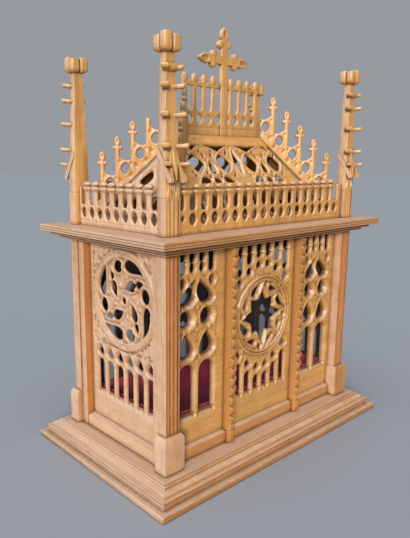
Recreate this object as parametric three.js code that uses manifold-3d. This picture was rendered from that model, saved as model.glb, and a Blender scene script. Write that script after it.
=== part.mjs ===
// Neo-gothic reliquary in carved light wood: a hollow, glazed case with pierced
// tracery walls, on a stepped base, under a cornice that carries balustrades,
// corner pinnacles and a hipped, pierced roof with crestings and a cross.
// Millimetres, +Z up. Origin: centre of the base board's underside.
// The long front faces -Y, the short side that matches it in finish faces -X.
import * as THREE from 'three';
import { mergeVertices } from 'three/addons/utils/BufferGeometryUtils.js';
import Module from 'manifold-3d';

const wasm = await Module();
wasm.setup();

// ---------------------------------------------------------------- dimensions
const GAP = 0.3;                       // clearance between neighbouring pieces
const BASE = { L: 620, D: 380, t: 11 };
const STEP_Z = 37.6;                   // top of the stepped base
const LEDGE_Z = 25.4;                  // ledge that carries the floor board
const BODY = { hx: 256, hy: 134.3 };   // half sizes at the posts' outer faces
const POST = { x: 29.4, y: 35, lip: 3, face: 20 };
const FOOT = { out: 8, z: 102.4, weather: 6 };
const PANEL = { t: 12, front: 116.5, side: 237.6 };   // outer planes of the walls
const BODY_TOP = 398.3;
const CORNICE_Z = 424.3;
const RAIL = { t: 8.2, z: 57.5, back: 61.5 };
const PIER = { w: 16, x: 97.2, out: 135.5 };
const HUSKS = 14;                      // carved husks down each front pier
const SILL = { front: 104.5, back: 115.5 };
const BAY1_AXIS = -170;                // axis of the left bay's two lights
const ROSE = { z: 254.8, R: 75, r: 67 };       // front centre circle
const WHEEL = { z: 298.9, R: 88.6, r: 75 };    // short side circle
const BAL = { pitch: 25.2, t: 5.6, setback: 8, z0: CORNICE_Z + GAP, top: 501.8, nLong: 18, nShort: 9 };
const PIN = { x: 29.4, y: 19.7, zShaft: 507, zNeck: 687, zCap: 715 };
const ROOF = { bx: 224.7, by: 120.5, tx: 102, ty: 10.7, zb: CORNICE_Z + GAP, zt: 583, t: 8 };
const CREST = { hx: 101, t: 6, pitch: 24, n: 8, z0: 583.4, rail: 598, top: 676, bud: 692 };
const CROSS = { z: 721, arm: 65, top: 779, w: 14, t: 10 };
const HIP = { t: 7, pitch: 27.4, first: 21, band: 27, bar: 79, tip: 97.5 };

// ------------------------------------------------------------------ materials
const wood = (hex, roughness = 0.5) => new THREE.MeshStandardMaterial({ color: hex, roughness, metalness: 0 });
const WOOD = {
  board: wood(0xb98a55), carved: wood(0xcf9b52, 0.45), top: wood(0xc9a277), side: wood(0xc39465),
};
const GLASS = new THREE.MeshStandardMaterial({ color: 0x9fb0b5, roughness: 0.05, metalness: 0, transparent: true, opacity: 0.35 });
const VELVET = new THREE.MeshStandardMaterial({ color: 0x7c1233, roughness: 0.95, metalness: 0 });

// -------------------------------------------------------------------- helpers
const TAU = Math.PI * 2;
const polar = (r, deg, cx = 0, cz = 0) => [cx + r * Math.cos(deg * Math.PI / 180), cz + r * Math.sin(deg * Math.PI / 180)];

function weld(geometry) {
  geometry.deleteAttribute('normal');
  geometry.deleteAttribute('uv');
  return mergeVertices(geometry, 1e-4);
}

// A plate: an outline with holes, drawn in (x, z) and extruded towards -Y.
// w = 0 is the inner face, w = t the outer one. A hole may carry `inner`, its
// outline on the inner face, which gives splayed reveals and sloping sills.
// Each opening is turned and shifted by a hair, as hand-cut work is.
function handCut(hole, i) {
  const points = hole.points ?? hole, a = 0.004 + 0.0013 * (i % 4), c = Math.cos(a), s = Math.sin(a);
  const cx = points.reduce((sum, p) => sum + p[0], 0) / points.length;
  const cz = points.reduce((sum, p) => sum + p[1], 0) / points.length;
  const dx = 0.1 * Math.cos(2.3 * i), dz = 0.12 * Math.sin(1.7 * i);
  const turn = ([x, z]) => [cx + dx + (x - cx) * c - (z - cz) * s, cz + dz + (x - cx) * s + (z - cz) * c];
  return { points: points.map(turn), inner: hole.inner?.map(turn) };
}
function plate(outline, cuts, t, innerOutline = null) {
  const loops = [{ points: outline, inner: innerOutline }, ...cuts.map(handCut)].map(({ points, inner }, k) => {
    const outer = points.map(([x, z]) => new THREE.Vector2(x, z));
    const back = (inner ?? points).map(([x, z]) => new THREE.Vector2(x, z));
    if (THREE.ShapeUtils.isClockWise(outer) === (k === 0)) { outer.reverse(); back.reverse(); }
    return [outer, back];
  });
  const vertices = [], index = [], count = loops.reduce((sum, [outer]) => sum + outer.length, 0);
  [0, 1].forEach((face) => loops.forEach((loop) => loop[face].forEach((v) => vertices.push(v.x, v.y, face ? 0 : t))));
  for (const face of [0, 1]) {
    const [contour, ...holes] = loops.map((loop) => loop[face]);
    for (const [i, j, k] of THREE.ShapeUtils.triangulateShape([...contour], holes.map((hole) => [...hole]))) {
      index.push(...(face ? [k, j, i].map((v) => v + count) : [i, j, k]));
    }
  }
  let start = 0;
  for (const [outer] of loops) {
    const n = outer.length;
    for (let i = 0; i < n; i++) {
      const a = start + i, b = start + (i + 1) % n;
      index.push(a + count, b + count, b, a + count, b, a);
    }
    start += n;
  }
  const geometry = new THREE.BufferGeometry();
  geometry.setAttribute('position', new THREE.Float32BufferAttribute(vertices, 3));
  geometry.setIndex(index);
  geometry.rotateX(Math.PI / 2);
  return geometry;
}

// A column: a plan outline (x, y) raised from z0 to z1.
function column(outline, z0, z1) {
  const shape = new THREE.Shape(outline.map(([x, y]) => new THREE.Vector2(x, y)));
  const geometry = weld(new THREE.ExtrudeGeometry(shape, { depth: z1 - z0, bevelEnabled: false, curveSegments: 1 }));
  geometry.translate(0, 0, z0);
  return geometry;
}

function box(x0, x1, y0, y1, z0, z1) {
  const geometry = weld(new THREE.BoxGeometry(x1 - x0, y1 - y0, z1 - z0));
  geometry.translate((x0 + x1) / 2, (y0 + y1) / 2, (z0 + z1) / 2);
  return geometry;
}

// A stack of plan sections, each [z, outline], with the same number of points.
function stack(sections) {
  const n = sections[0][1].length;
  const geometry = column(sections[0][1].map(([x, y]) => [x, y]), 0, 1);
  geometry.dispose();
  const vertices = [], index = [];
  sections.forEach(([z, ring]) => ring.forEach(([x, y]) => vertices.push(x, y, z)));
  for (let k = 0; k < sections.length - 1; k++) {
    for (let i = 0; i < n; i++) {
      const a = k * n + i, b = k * n + (i + 1) % n;
      index.push(a, b, b + n, a, b + n, a + n);
    }
  }
  const cap = THREE.ShapeUtils.triangulateShape(sections[0][1].map(([x, y]) => new THREE.Vector2(x, y)), []);
  const topStart = (sections.length - 1) * n;
  cap.forEach(([a, b, c]) => { index.push(c, b, a); index.push(a + topStart, b + topStart, c + topStart); });
  const out = new THREE.BufferGeometry();
  out.setAttribute('position', new THREE.Float32BufferAttribute(vertices, 3));
  out.setIndex(index);
  return out;
}

function solid(geometry) {
  const merged = geometry.getAttribute('normal') ? weld(geometry) : geometry;
  return new wasm.Manifold(new wasm.Mesh({
    numProp: 3,
    vertProperties: new Float32Array(merged.getAttribute('position').array),
    triVerts: new Uint32Array(merged.index.array),
  }));
}

function surface(manifold) {
  const mesh = manifold.getMesh();
  const geometry = new THREE.BufferGeometry();
  geometry.setAttribute('position', new THREE.BufferAttribute(new Float32Array(mesh.vertProperties), 3));
  geometry.setIndex(new THREE.BufferAttribute(new Uint32Array(mesh.triVerts), 1));
  return geometry;
}

const join = (first, ...rest) => surface(rest.reduce((sum, g) => sum.add(solid(g)), solid(first)));

// ------------------------------------------------------------ opening outlines
// All are closed point lists, drawn anticlockwise, in (x, z).
const lancet = (x, w, z0, z1) => [[x - w / 2, z0], [x + w / 2, z0], [x + w / 2, z1], [x - w / 2, z1]];

function vesica(x, z, w, h, lean = 0) {             // pointed oval
  return [[x, z - h / 2], [x + w / 2, z - h * 0.16], [x + w / 2, z + h * 0.16],
    [x + lean, z + h / 2], [x - w / 2, z + h * 0.16], [x - w / 2, z - h * 0.16]];
}

function teardrop(x, w, z0, z1, tip = 0, n = 5) {   // round foot, pointed head
  const r = w / 2, zc = z0 + r * 0.95, pts = [];
  for (let i = 0; i <= n; i++) {
    const a = Math.PI * (1.08 + 0.84 * i / n);
    pts.push([x + r * Math.cos(a), zc + r * Math.sin(a)]);
  }
  pts.push([x + r * 0.72 + tip * 0.45, zc + (z1 - zc) * 0.52]);
  pts.push([x + tip, z1]);
  pts.push([x - r * 0.72 + tip * 0.45, zc + (z1 - zc) * 0.52]);
  return pts;
}

function archedLight(x, w, z1, n = 4) {             // round head over a sloping sill
  const r = w / 2, points = [[x - r, SILL.front], [x + r, SILL.front]];
  for (let i = 0; i <= n; i++) points.push([x + r * Math.cos(Math.PI * i / n), z1 - r + r * Math.sin(Math.PI * i / n)]);
  const inner = points.map(([px, pz], i) => [px, i < 2 ? SILL.back : pz]);
  return { points, inner };
}

function ovalAt(cx, cz, w, h, turn = 0, n = 6, point = 0) {
  const pts = [], c = Math.cos(turn * Math.PI / 180), s = Math.sin(turn * Math.PI / 180);
  for (let i = 0; i < n; i++) {
    const a = TAU * i / n;
    const k = 1 + point * Math.max(0, Math.cos(a));
    const u = w / 2 * Math.cos(a) * k, v = h / 2 * Math.sin(a);
    pts.push([cx + u * c - v * s, cz + u * s + v * c]);
  }
  return pts;
}

// splayed reveal: the inner outline is the outer one drawn towards its middle
function splay(points, amount) {
  const cx = points.reduce((s, p) => s + p[0], 0) / points.length;
  const cz = points.reduce((s, p) => s + p[1], 0) / points.length;
  const inner = points.map(([x, z]) => {
    const d = Math.hypot(x - cx, z - cz) || 1;
    return [x - (x - cx) / d * amount, z - (z - cz) / d * amount];
  });
  return { points, inner };
}

const rect = (x0, x1, z0, z1) => [[x0, z0], [x1, z0], [x1, z1], [x0, z1]];

// ------------------------------------------------------------------ the scene
const reliquary = new THREE.Group();
const counts = {};
function piece(parent, name, geometry, material, place = {}) {
  const mesh = new THREE.Mesh(geometry, material);
  mesh.name = name;
  if (place.position) mesh.position.set(...place.position);
  if (place.rotation) mesh.rotation.set(...place.rotation);
  parent.add(mesh);
  counts[name] = geometry.index.count / 3;
  return mesh;
}

// One group for each side of the case; each is drawn as if it were the front.
const SIDES = {};
for (const [name, turn] of [['front', 0], ['right', Math.PI / 2], ['back', Math.PI], ['left', -Math.PI / 2]]) {
  const group = new THREE.Group();
  group.rotation.z = turn;
  reliquary.add(group);
  SIDES[name] = group;
}
const isLong = (side) => side === 'front' || side === 'back';

// A strip of a mitred frame: profile points are [inset, z] from the outer edge.
function mitredStrip(profile, halfLength, halfDepth) {
  const shape = new THREE.Shape(profile.map(([o, z]) => new THREE.Vector2(o, z)));
  const geometry = weld(new THREE.ExtrudeGeometry(shape, { depth: 1, bevelEnabled: false, curveSegments: 1 }));
  const pos = geometry.getAttribute('position');
  for (let i = 0; i < pos.count; i++) {
    const o = pos.getX(i), z = pos.getY(i), end = pos.getZ(i) > 0.5 ? 1 : -1;
    pos.setXYZ(i, end * (halfLength - o - GAP / 2), o - halfDepth, z);
  }
  return surface(solid(geometry));
}

// ----------------------------------------------------------------------- base
piece(reliquary, 'base_board', box(-BASE.L / 2, BASE.L / 2, -BASE.D / 2, BASE.D / 2, 0, BASE.t), WOOD.board);
const baseProfile = [
  [12, BASE.t + GAP], [62, BASE.t + GAP], [62, LEDGE_Z], [50, LEDGE_Z], [50, STEP_Z],
  [33, STEP_Z], [33, 36.2], [29.6, 36.0], [28.2, 33.4], [25, 31.0], [21.4, 29.4], [18.6, 27.4], [18, 24.5], [12, 24.5],
];
for (const side of Object.keys(SIDES)) {
  const [hl, hd] = isLong(side) ? [BASE.L / 2, BASE.D / 2] : [BASE.D / 2, BASE.L / 2];
  piece(SIDES[side], `base_moulding_${side}`, mitredStrip(baseProfile, hl, hd), WOOD.board);
}
piece(reliquary, 'floor_board', box(-BASE.L / 2 + 50 + GAP, BASE.L / 2 - 50 - GAP, -BASE.D / 2 + 50 + GAP, BASE.D / 2 - 50 - GAP, LEDGE_Z + GAP, STEP_Z), WOOD.board);

// ------------------------------------------------------- corner posts and feet
// Plan outline of a corner post, drawn for the -X,-Y corner and mirrored.
function reededOutline(width, deep, lip, face) {
  const pts = [[0, deep], [0, 0]];
  const reeds = 3, margin = 3, w = (width - 2 * margin) / reeds;
  pts.push([margin - 0.4, 0], [margin, 2.2]);
  for (let k = 0; k < reeds; k++) {
    const x0 = margin + k * w;
    pts.push([x0 + w * 0.22, 0.35], [x0 + w * 0.78, 0.35]);
    pts.push([x0 + w, 2.2]);
  }
  pts.push([width - margin + 0.4, 0], [width, 0], [width, deep]);
  if (lip) { pts[0] = [0, face]; pts.push([lip, deep], [lip, face]); }
  return pts;
}
const CORNERS = [['near_left', -1, -1], ['near_right', 1, -1], ['far_left', -1, 1], ['far_right', 1, 1]];
for (const [name, sx, sy] of CORNERS) {
  const at = ([x, y]) => [sx * (BODY.hx - x), sy * (BODY.hy - y)];
  const post = reededOutline(POST.x, POST.y, POST.lip, POST.face).map(at);
  piece(reliquary, `corner_post_${name}`, column(post, STEP_Z + GAP, BODY_TOP), WOOD.side);

  // foot block: wraps the post's two outer faces, with a weathered top
  const o = FOOT.out, g = GAP;
  const foot = (inset) => [
    [-o + inset, -o + inset], [POST.x + 4.2 - inset, -o + inset], [POST.x + 4.2 - inset, 17.5],
    [POST.x + g, 17.5], [POST.x + g, -g], [-g, -g], [-g, 17.8], [-o + inset, 17.8],
  ].map(at);
  const rings = [[STEP_Z + g, foot(0)], [FOOT.z - FOOT.weather, foot(0)], [FOOT.z, foot(3.4)]];
  const ordered = sx * sy > 0 ? rings : rings.map(([z, ring]) => [z, [...ring].reverse()]);
  piece(reliquary, `foot_block_${name}`, stack(ordered), WOOD.board);
}

// --------------------------------------------------- wall panels with tracery
const wallY = (plane) => [0, -(plane - PANEL.t), 0];
const Z_PANEL = [STEP_Z + GAP, BODY_TOP];

// two lights under flowing tracery, for the outer bays; s = side of the axis
function twoLightOpenings(axis) {
  const holes = [];
  for (const s of [-1, 1]) {
    const c = axis + s * 23.3;
    holes.push(archedLight(c, 39.5, 204.5));
    holes.push(splay(teardrop(c, 41, 208.5, 258, 0, 4), 2.5));
    holes.push(splay(ovalAt(axis + s * 25.5, 280.6, 33, 34, 90, 6), 4.5));
    holes.push(splay(teardrop(axis + s * 24.2, 40, 301.5, 343, -s * 17, 4), 3));
    holes.push(vesica(axis + s * 34, 343, 14, 20));
    holes.push(lancet(axis + s * 33.3, 17, 356, 394));
    holes.push(vesica(axis + s * 11.1, 366, 16, 21));
    holes.push(lancet(axis + s * 11.1, 17, 379.6, 394));
  }
  return holes;
}

function arcade(centres, w, headZ, tearZ, pitchW) {
  return centres.flatMap((x, i) => [archedLight(x, w, headZ[i], 2), teardrop(x, pitchW, tearZ[i][0], tearZ[i][1], 0, 2)]);
}

function raisedRing(R, r, z, plane, out, n = 18) {
  const shape = new THREE.Shape(), hole = new THREE.Path();
  for (let i = 0; i < n; i++) {
    const a = TAU * i / n;
    shape[i ? 'lineTo' : 'moveTo'](R * Math.cos(a), z + R * Math.sin(a));
    hole[i ? 'lineTo' : 'moveTo'](r * Math.cos(a), z + r * Math.sin(a));
  }
  shape.holes.push(hole);
  const geometry = weld(new THREE.ExtrudeGeometry(shape, { depth: 6 + out, bevelEnabled: false, curveSegments: 1 }));
  geometry.rotateX(Math.PI / 2);
  geometry.translate(0, -(plane - 6), 0);
  return geometry;
}

// front, outer bays
const bayOuter = BODY.hx - POST.x - GAP;
const halfBay = PIER.x - GAP / 2;
piece(SIDES.front, 'tracery_panel_front_left',
  plate(rect(-bayOuter, -halfBay - GAP, ...Z_PANEL), twoLightOpenings(BAY1_AXIS), PANEL.t), WOOD.carved, { position: wallY(PANEL.front) });
piece(SIDES.front, 'tracery_panel_front_right',
  plate(rect(halfBay + GAP, bayOuter, ...Z_PANEL), twoLightOpenings(-BAY1_AXIS), PANEL.t), WOOD.carved, { position: wallY(PANEL.front) });

// front, centre bay: arcade, star rose and hanging lancets
{
  const holes = [];
  const p = 25.7, xs = [-2.5, -1.5, -0.5, 0.5, 1.5, 2.5].map((k) => k * p);
  const far = [0, 1, 2, 2, 1, 0];
  xs.forEach((x, i) => {
    const k = far[5 - i] === undefined ? 0 : far[i];
    holes.push(archedLight(x, 19.5, [172.5, 152, 141][k], 2));
    holes.push(teardrop(x + (k === 0 ? Math.sign(x) * 1.5 : 0), 14, [176.5, 156, 145][k], [197, 175, 166][k], 0, 2));
    holes.push(lancet(x, 19.5, [336, 352, 361][k], 394));
    if (k < 2) holes.push(vesica(x, [321, 341][k], 13.5, [22, 16][k]));
    else holes.push(vesica(x, 351, 15, 14));
  });
  const star = [];
  for (let i = 0; i < 8; i++) {
    star.push(polar(i % 2 ? 43 : 50, i * 45, 0, ROSE.z));
    star.push(polar(30, i * 45 + 22.5, 0, ROSE.z));
  }
  holes.push(splay(star, 3));
  for (let k = 0; k < 4; k++) {
    const [mx, mz] = polar(54.5, 21 + 90 * k, 0, ROSE.z);
    holes.push(ovalAt(mx, mz, 22, 15, 111 + 90 * k, 6));
    for (const a of [57, 79]) {
      const [sx, sz] = polar(57.5, a + 90 * k, 0, ROSE.z);
      holes.push(ovalAt(sx, sz, 12.5, 12.5, a, 5));
    }
  }
  const panel = plate(rect(-halfBay + GAP, halfBay - GAP, ...Z_PANEL), holes, PANEL.t);
  panel.translate(0, -(PANEL.front - PANEL.t), 0);
  piece(SIDES.front, 'tracery_panel_front_centre', join(panel, raisedRing(ROSE.R, ROSE.r, ROSE.z, PANEL.front, 3.2)), WOOD.carved);
}

// short sides: a great wheel of whirling mouchettes over an arcade of six
const sideHalf = BODY.hy - POST.y - GAP;
function sideArcade(teardrops) {
  const p = 28.95, holes = [];
  for (let i = 0; i < 6; i++) {
    const x = (i - 2.5) * p;
    holes.push(archedLight(x, 20.5, 176, 3));
    if (teardrops) holes.push(teardrop(x, 16, 180, 204, 0, 3));
  }
  return holes;
}
{
  const holes = sideArcade(true);
  for (let k = 0; k < 4; k++) {
    const t = 90 * k;
    const [ax, az] = polar(60.5, 63 + t, 0, WHEEL.z);
    holes.push(ovalAt(ax, az, 50, 21, 63 + t - 78, 7));
    const [bx, bz] = polar(59, 17 + t, 0, WHEEL.z);
    holes.push(ovalAt(bx, bz, 21, 18, t + 100, 6));
    const [cx, cz] = polar(30, 60 + t, 0, WHEEL.z);
    holes.push(splay(ovalAt(cx, cz, 29, 18, t, 6), 2));
    const [dx, dz] = polar(45.5, 31 + t, 0, WHEEL.z);
    holes.push(ovalAt(dx, dz, 14, 11, t + 20, 5));
  }
  holes.push(ovalAt(0, WHEEL.z, 11, 11, 0, 4));
  const panel = plate(rect(-sideHalf, sideHalf, ...Z_PANEL), holes, PANEL.t);
  panel.translate(0, -(PANEL.side - PANEL.t), 0);
  piece(SIDES.left, 'tracery_panel_left_side', join(panel, raisedRing(WHEEL.R, WHEEL.r + 2, WHEEL.z, PANEL.side, 3.2)), WOOD.carved);
}
{ // the hidden short side keeps the arcade and a plain four-light wheel
  const holes = sideArcade(false);
  for (let k = 0; k < 4; k++) {
    const [cx, cz] = polar(40, 45 + 90 * k, 0, WHEEL.z);
    holes.push(ovalAt(cx, cz, 46, 46, 45 + 90 * k, 8));
  }
  piece(SIDES.right, 'tracery_panel_right_side',
    plate(rect(-sideHalf, sideHalf, ...Z_PANEL), holes, PANEL.t), WOOD.carved, { position: wallY(PANEL.side) });
}
{ // back: plainer, tall pointed lights and a quatrefoil in the middle
  const plainPair = (axis) => [-1, 1].flatMap((s) => [archedLight(axis + s * 23.3, 36, 258, 4), ovalAt(axis + s * 23.3, 300, 34, 46, 90, 6, 0.15)]);
  piece(SIDES.back, 'wall_panel_back_left', plate(rect(-bayOuter, -halfBay - GAP, ...Z_PANEL), plainPair(BAY1_AXIS), PANEL.t), WOOD.board, { position: wallY(PANEL.front) });
  piece(SIDES.back, 'wall_panel_back_right', plate(rect(halfBay + GAP, bayOuter, ...Z_PANEL), plainPair(-BAY1_AXIS), PANEL.t), WOOD.board, { position: wallY(PANEL.front) });
  const holes = [-1, 0, 1].map((k) => archedLight(k * 46, 36, 196, 3));
  for (let k = 0; k < 4; k++) {
    const [cx, cz] = polar(31, 90 * k, 0, 280);
    holes.push(ovalAt(cx, cz, 36, 36, 90 * k, 7));
  }
  piece(SIDES.back, 'wall_panel_back_centre', plate(rect(-halfBay + GAP, halfBay - GAP, ...Z_PANEL), holes, PANEL.t), WOOD.board, { position: wallY(PANEL.front) });
}

// ------------------------------------------------------- piers with husk drops
function pierProfile(husks) {
  const back = -(PANEL.front + GAP), railFace = -(PANEL.front + RAIL.t + 2 * GAP);
  const pts = [[back, RAIL.back + GAP], [back, BODY_TOP]];
  if (husks) {
    const z1 = BODY_TOP, z0 = 78, step = (z1 - z0) / HUSKS;
    for (let i = 0; i < HUSKS; i++) {
      const top = z1 - i * step;
      pts.push([i ? -PIER.out : -PIER.out, top], [-PIER.out + 3.6, top - step + 1.2]);
    }
    pts.push([-PIER.out + 1, z0], [-PIER.out + 1, 50], [-PIER.out + 3.2, 46]);
  } else {
    pts.push([-PIER.out + 1.5, BODY_TOP]);
    pts.push([-PIER.out + 1.5, 50], [-PIER.out + 3.2, 46]);
  }
  pts.push([-PIER.out + 3.2, STEP_Z + GAP], [railFace, STEP_Z + GAP], [railFace, RAIL.back + GAP]);
  return pts;
}
function pier(husks) {
  const shape = new THREE.Shape(pierProfile(husks).map(([y, z]) => new THREE.Vector2(y, z)));
  const geometry = weld(new THREE.ExtrudeGeometry(shape, { depth: PIER.w, bevelEnabled: false }));
  // (y, z, x) to (x, y, z)
  const pos = geometry.getAttribute('position');
  for (let i = 0; i < pos.count; i++) pos.setXYZ(i, pos.getZ(i) - PIER.w / 2, pos.getX(i), pos.getY(i));
  return geometry;
}
for (const [side, husks] of [['front', true], ['back', false]]) {
  for (const [end, s] of [['left', -1], ['right', 1]]) {
    piece(SIDES[side], `pier_${side}_${end}`, pier(husks), WOOD.carved, { position: [s * PIER.x, 0, 0] });
  }
}

// ------------------------------------------------------------------ foot rails
for (const side of Object.keys(SIDES)) {
  const plane = isLong(side) ? PANEL.front : PANEL.side;
  const half = isLong(side) ? BODY.hx - POST.x - 4.2 - GAP : BODY.hy - POST.y - GAP;
  const t = isLong(side) ? RAIL.t : 14;
  const shape = new THREE.Shape([[0, STEP_Z + GAP], [t, STEP_Z + GAP], [t, RAIL.z], [0, RAIL.back]].map(([x, z]) => new THREE.Vector2(x, z)));
  const geometry = weld(new THREE.ExtrudeGeometry(shape, { depth: 2 * half, bevelEnabled: false }));
  const pos = geometry.getAttribute('position');
  for (let i = 0; i < pos.count; i++) pos.setXYZ(i, half - pos.getZ(i), -(plane + GAP + pos.getX(i)), pos.getY(i));
  piece(SIDES[side], `foot_rail_${side}`, geometry, WOOD.board);
}

// ------------------------------------------------------------ glass and velvet
for (const side of Object.keys(SIDES)) {
  const inner = (isLong(side) ? PANEL.front : PANEL.side) - PANEL.t - GAP;
  const half = isLong(side) ? bayOuter : sideHalf;
  piece(SIDES[side], `glass_pane_${side}`, box(-half, half, -inner, -inner + 2, 64, 394), GLASS);
}
{
  const x = PANEL.side - PANEL.t - 3.2, y = 98.6, t = 2.5, z0 = STEP_Z + GAP, z1 = 113;
  const outer = solid(box(-x, x, -y, y, z0, z1));
  const inner = solid(box(-x + t, x - t, -y + t, y - t, z0 + t, z1 + 10));
  piece(reliquary, 'velvet_lining', surface(outer.subtract(inner)), VELVET);
}

// -------------------------------------------------------------------- cornice
const corniceHalf = [BODY.hx + 40, BODY.hy + 42.7];
const corniceProfile = [
  [0, 411.8], [13, 411.8], [13, 404.6], [24, 404.6], [24, 398.6], [68, 398.6], [68, 411.8], [104, 411.8],
  [104, 417.4], [98, 417.4], [98, CORNICE_Z], [0, CORNICE_Z],
];
for (const side of Object.keys(SIDES)) {
  const [hl, hd] = isLong(side) ? corniceHalf : [corniceHalf[1], corniceHalf[0]];
  piece(SIDES[side], `cornice_${side}`, mitredStrip(corniceProfile, hl, hd), WOOD.top);
}
piece(reliquary, 'ceiling_board', box(-corniceHalf[0] + 98 + GAP, corniceHalf[0] - 98 - GAP, -corniceHalf[1] + 98 + GAP, corniceHalf[1] - 98 - GAP, 417.7, CORNICE_Z), WOOD.top);

// ----------------------------------------------------------------- balustrades
function balustrade(n, ovals) {
  const p = BAL.pitch, half = n * p / 2 - 0.5;
  const outline = [[-half, BAL.z0], [half, BAL.z0]];
  const foot = (x) => 460.5 + x * x * 8e-6;          // the band is a hair lower in the middle
  // right end, then each gap and baluster from right to left
  outline.push([half, 494]);
  outline.push([half - 2.8, 494], [half - 2.8, foot(half - 2.8)]);
  for (let i = n - 1; i >= 1; i--) {
    const x = -half + i * p;
    const bud = ovals ? [[9.4, 490], [7, BAL.top], [-7, BAL.top], [-9.4, 490]] : [[9, BAL.top - 5], [-9, BAL.top - 5]];
    outline.push([x + 3, foot(x + 3)], [x + 3, 486.4], ...bud.map(([u, v]) => [x + u, v]), [x - 3, 486.4], [x - 3, foot(x - 3)]);
  }
  outline.push([-half + 2.8, foot(half)], [-half + 2.8, 494], [-half, 494]);
  const holes = [];
  if (ovals) for (let i = 0; i < n; i++) holes.push(vesica(-half + (i + 0.5) * p, 446, 17.5, 22.5));
  return plate(outline, holes, BAL.t);
}
for (const side of Object.keys(SIDES)) {
  const long = isLong(side), shown = side === 'front' || side === 'left';
  const outer = (long ? BODY.hy : BODY.hx) - BAL.setback;
  piece(SIDES[side], `balustrade_${side}`, balustrade(long ? BAL.nLong : BAL.nShort, shown), WOOD.carved, { position: [0, -(outer - BAL.t), 0] });
}

// -------------------------------------------------------------------- pinnacles
for (const [name, sx, sy] of CORNERS) {
  const turn = sx * sy > 0;
  const at = ([x, y]) => [sx * (BODY.hx - x), sy * (BODY.hy - y)];
  const ring = (pts) => { const r = pts.map(at); return turn ? r : r.reverse(); };
  const sq = (x0, x1, y0, y1) => ring([[x0, y0], [x1, y0], [x1, y1], [x0, y1]]);
  const z0 = CORNICE_Z + GAP;
  let body = solid(column(reededOutline(PIN.x, PIN.y, 0, 0).map(at), z0, 481));
  body = body.add(solid(stack([[480.5, sq(0, PIN.x, 0, PIN.y)], [PIN.zShaft, sq(0, PIN.x, 0, PIN.y)], [PIN.zNeck + 1, sq(6, 22.4, 6, PIN.y)]])));
  // gablet: a leaning hood on the long face, notched below between its feet
  body = body.add(solid(stack([[PIN.zShaft, sq(0, 8, -13, 4)], [600, sq(12, 16, -0.5, 8)]])));
  body = body.add(solid(stack([[PIN.zShaft, sq(PIN.x - 8, PIN.x, -13, 4)], [600, sq(PIN.x - 16, PIN.x - 12, -0.5, 8)]])));
  // crockets at the two outer arrises, pointing diagonally outward
  for (const z of [532, 558, 602, 642, 667.5]) {
    const k = Math.max(0, (z - PIN.zShaft) / (PIN.zNeck - PIN.zShaft));
    const y = 6 * k, xa = 6 * k, xb = PIN.x - 7 * k, r = z < 600 ? 8 : 7.4;
    const wedge = (x, d) => stack([[z - 2.4, ring(d > 0 ? [[x - r, y - r], [x + 5, y + 1], [x + 1, y + 5]] : [[x + r, y - r], [x - 1, y + 5], [x - 5, y + 1]])],
      [z + 2.4, ring(d > 0 ? [[x - r, y - r], [x + 5, y + 1], [x + 1, y + 5]] : [[x + r, y - r], [x - 1, y + 5], [x - 5, y + 1]])]]);
    body = body.add(solid(wedge(xa, 1))).add(solid(wedge(xb, -1)));
  }
  // four-lobed bud at the head
  const lobe = (k) => {
    const pts = [];
    for (let i = 0; i < 8; i++) {
      const a = TAU * (i + 0.5) / 8, r = (i % 2 ? 15.5 : 17.5) * k;
      pts.push([14.2 + r * Math.cos(a), 12.6 + r * Math.sin(a) * 0.9]);
    }
    return ring(pts);
  };
  body = body.add(solid(stack([[PIN.zNeck - 1, lobe(0.62)], [PIN.zNeck + 4, lobe(1)], [PIN.zCap, lobe(0.9)]])));
  piece(reliquary, `pinnacle_${name}`, surface(body), WOOD.carved);
}

// ------------------------------------------------------------------------ roof
// A slope is drawn flat as the front one: x along the eaves, s up the slope.
function slope(side, tracery) {
  const long = isLong(side);
  const hb = long ? ROOF.bx : ROOF.by, ht = long ? ROOF.tx : ROOF.ty;
  const run = long ? ROOF.by - ROOF.ty : ROOF.bx - ROOF.tx;
  const rise = ROOF.zt - ROOF.zb, len = Math.hypot(run, rise), angle = Math.atan2(rise, run);
  const across = (r) => ROOF.t / Math.sin(Math.atan2(rise, r));
  const own = across(run), other = across(long ? ROOF.bx - ROOF.tx : ROOF.by - ROOF.ty);
  const up = own * Math.cos(angle), g = GAP / 2;
  const outline = [[-hb + g, 0], [hb - g, 0], [ht - g, len], [-ht + g, len]];
  const inner = [[-hb + other + g, up], [hb - other - g, up], [Math.max(ht - other, 0.8) - g, len + up - (ht < other ? (other - ht + 0.8) * 1.45 : 0)], [-Math.max(ht - other, 0.8) + g, len + up - (ht < other ? (other - ht + 0.8) * 1.45 : 0)]];
  const geometry = plate(outline, tracery(len), ROOF.t, inner);
  // tip the standing plate back so that it leans inward, outer face at the eaves line
  const distance = long ? ROOF.by : ROOF.bx;
  geometry.translate(0, ROOF.t, 0);
  geometry.rotateX(-(Math.PI / 2 - angle));
  geometry.translate(0, -distance, ROOF.zb);
  return geometry;
}
const flame = (x, s, w, h, lean) => [[x - w / 2, s - h * 0.02], [x - w * 0.16, s - h / 2], [x + w / 2, s - h * 0.06], [x + w * 0.42, s + h * 0.12], [x + lean, s + h / 2], [x - w * 0.42, s + h * 0.2]];
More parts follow.
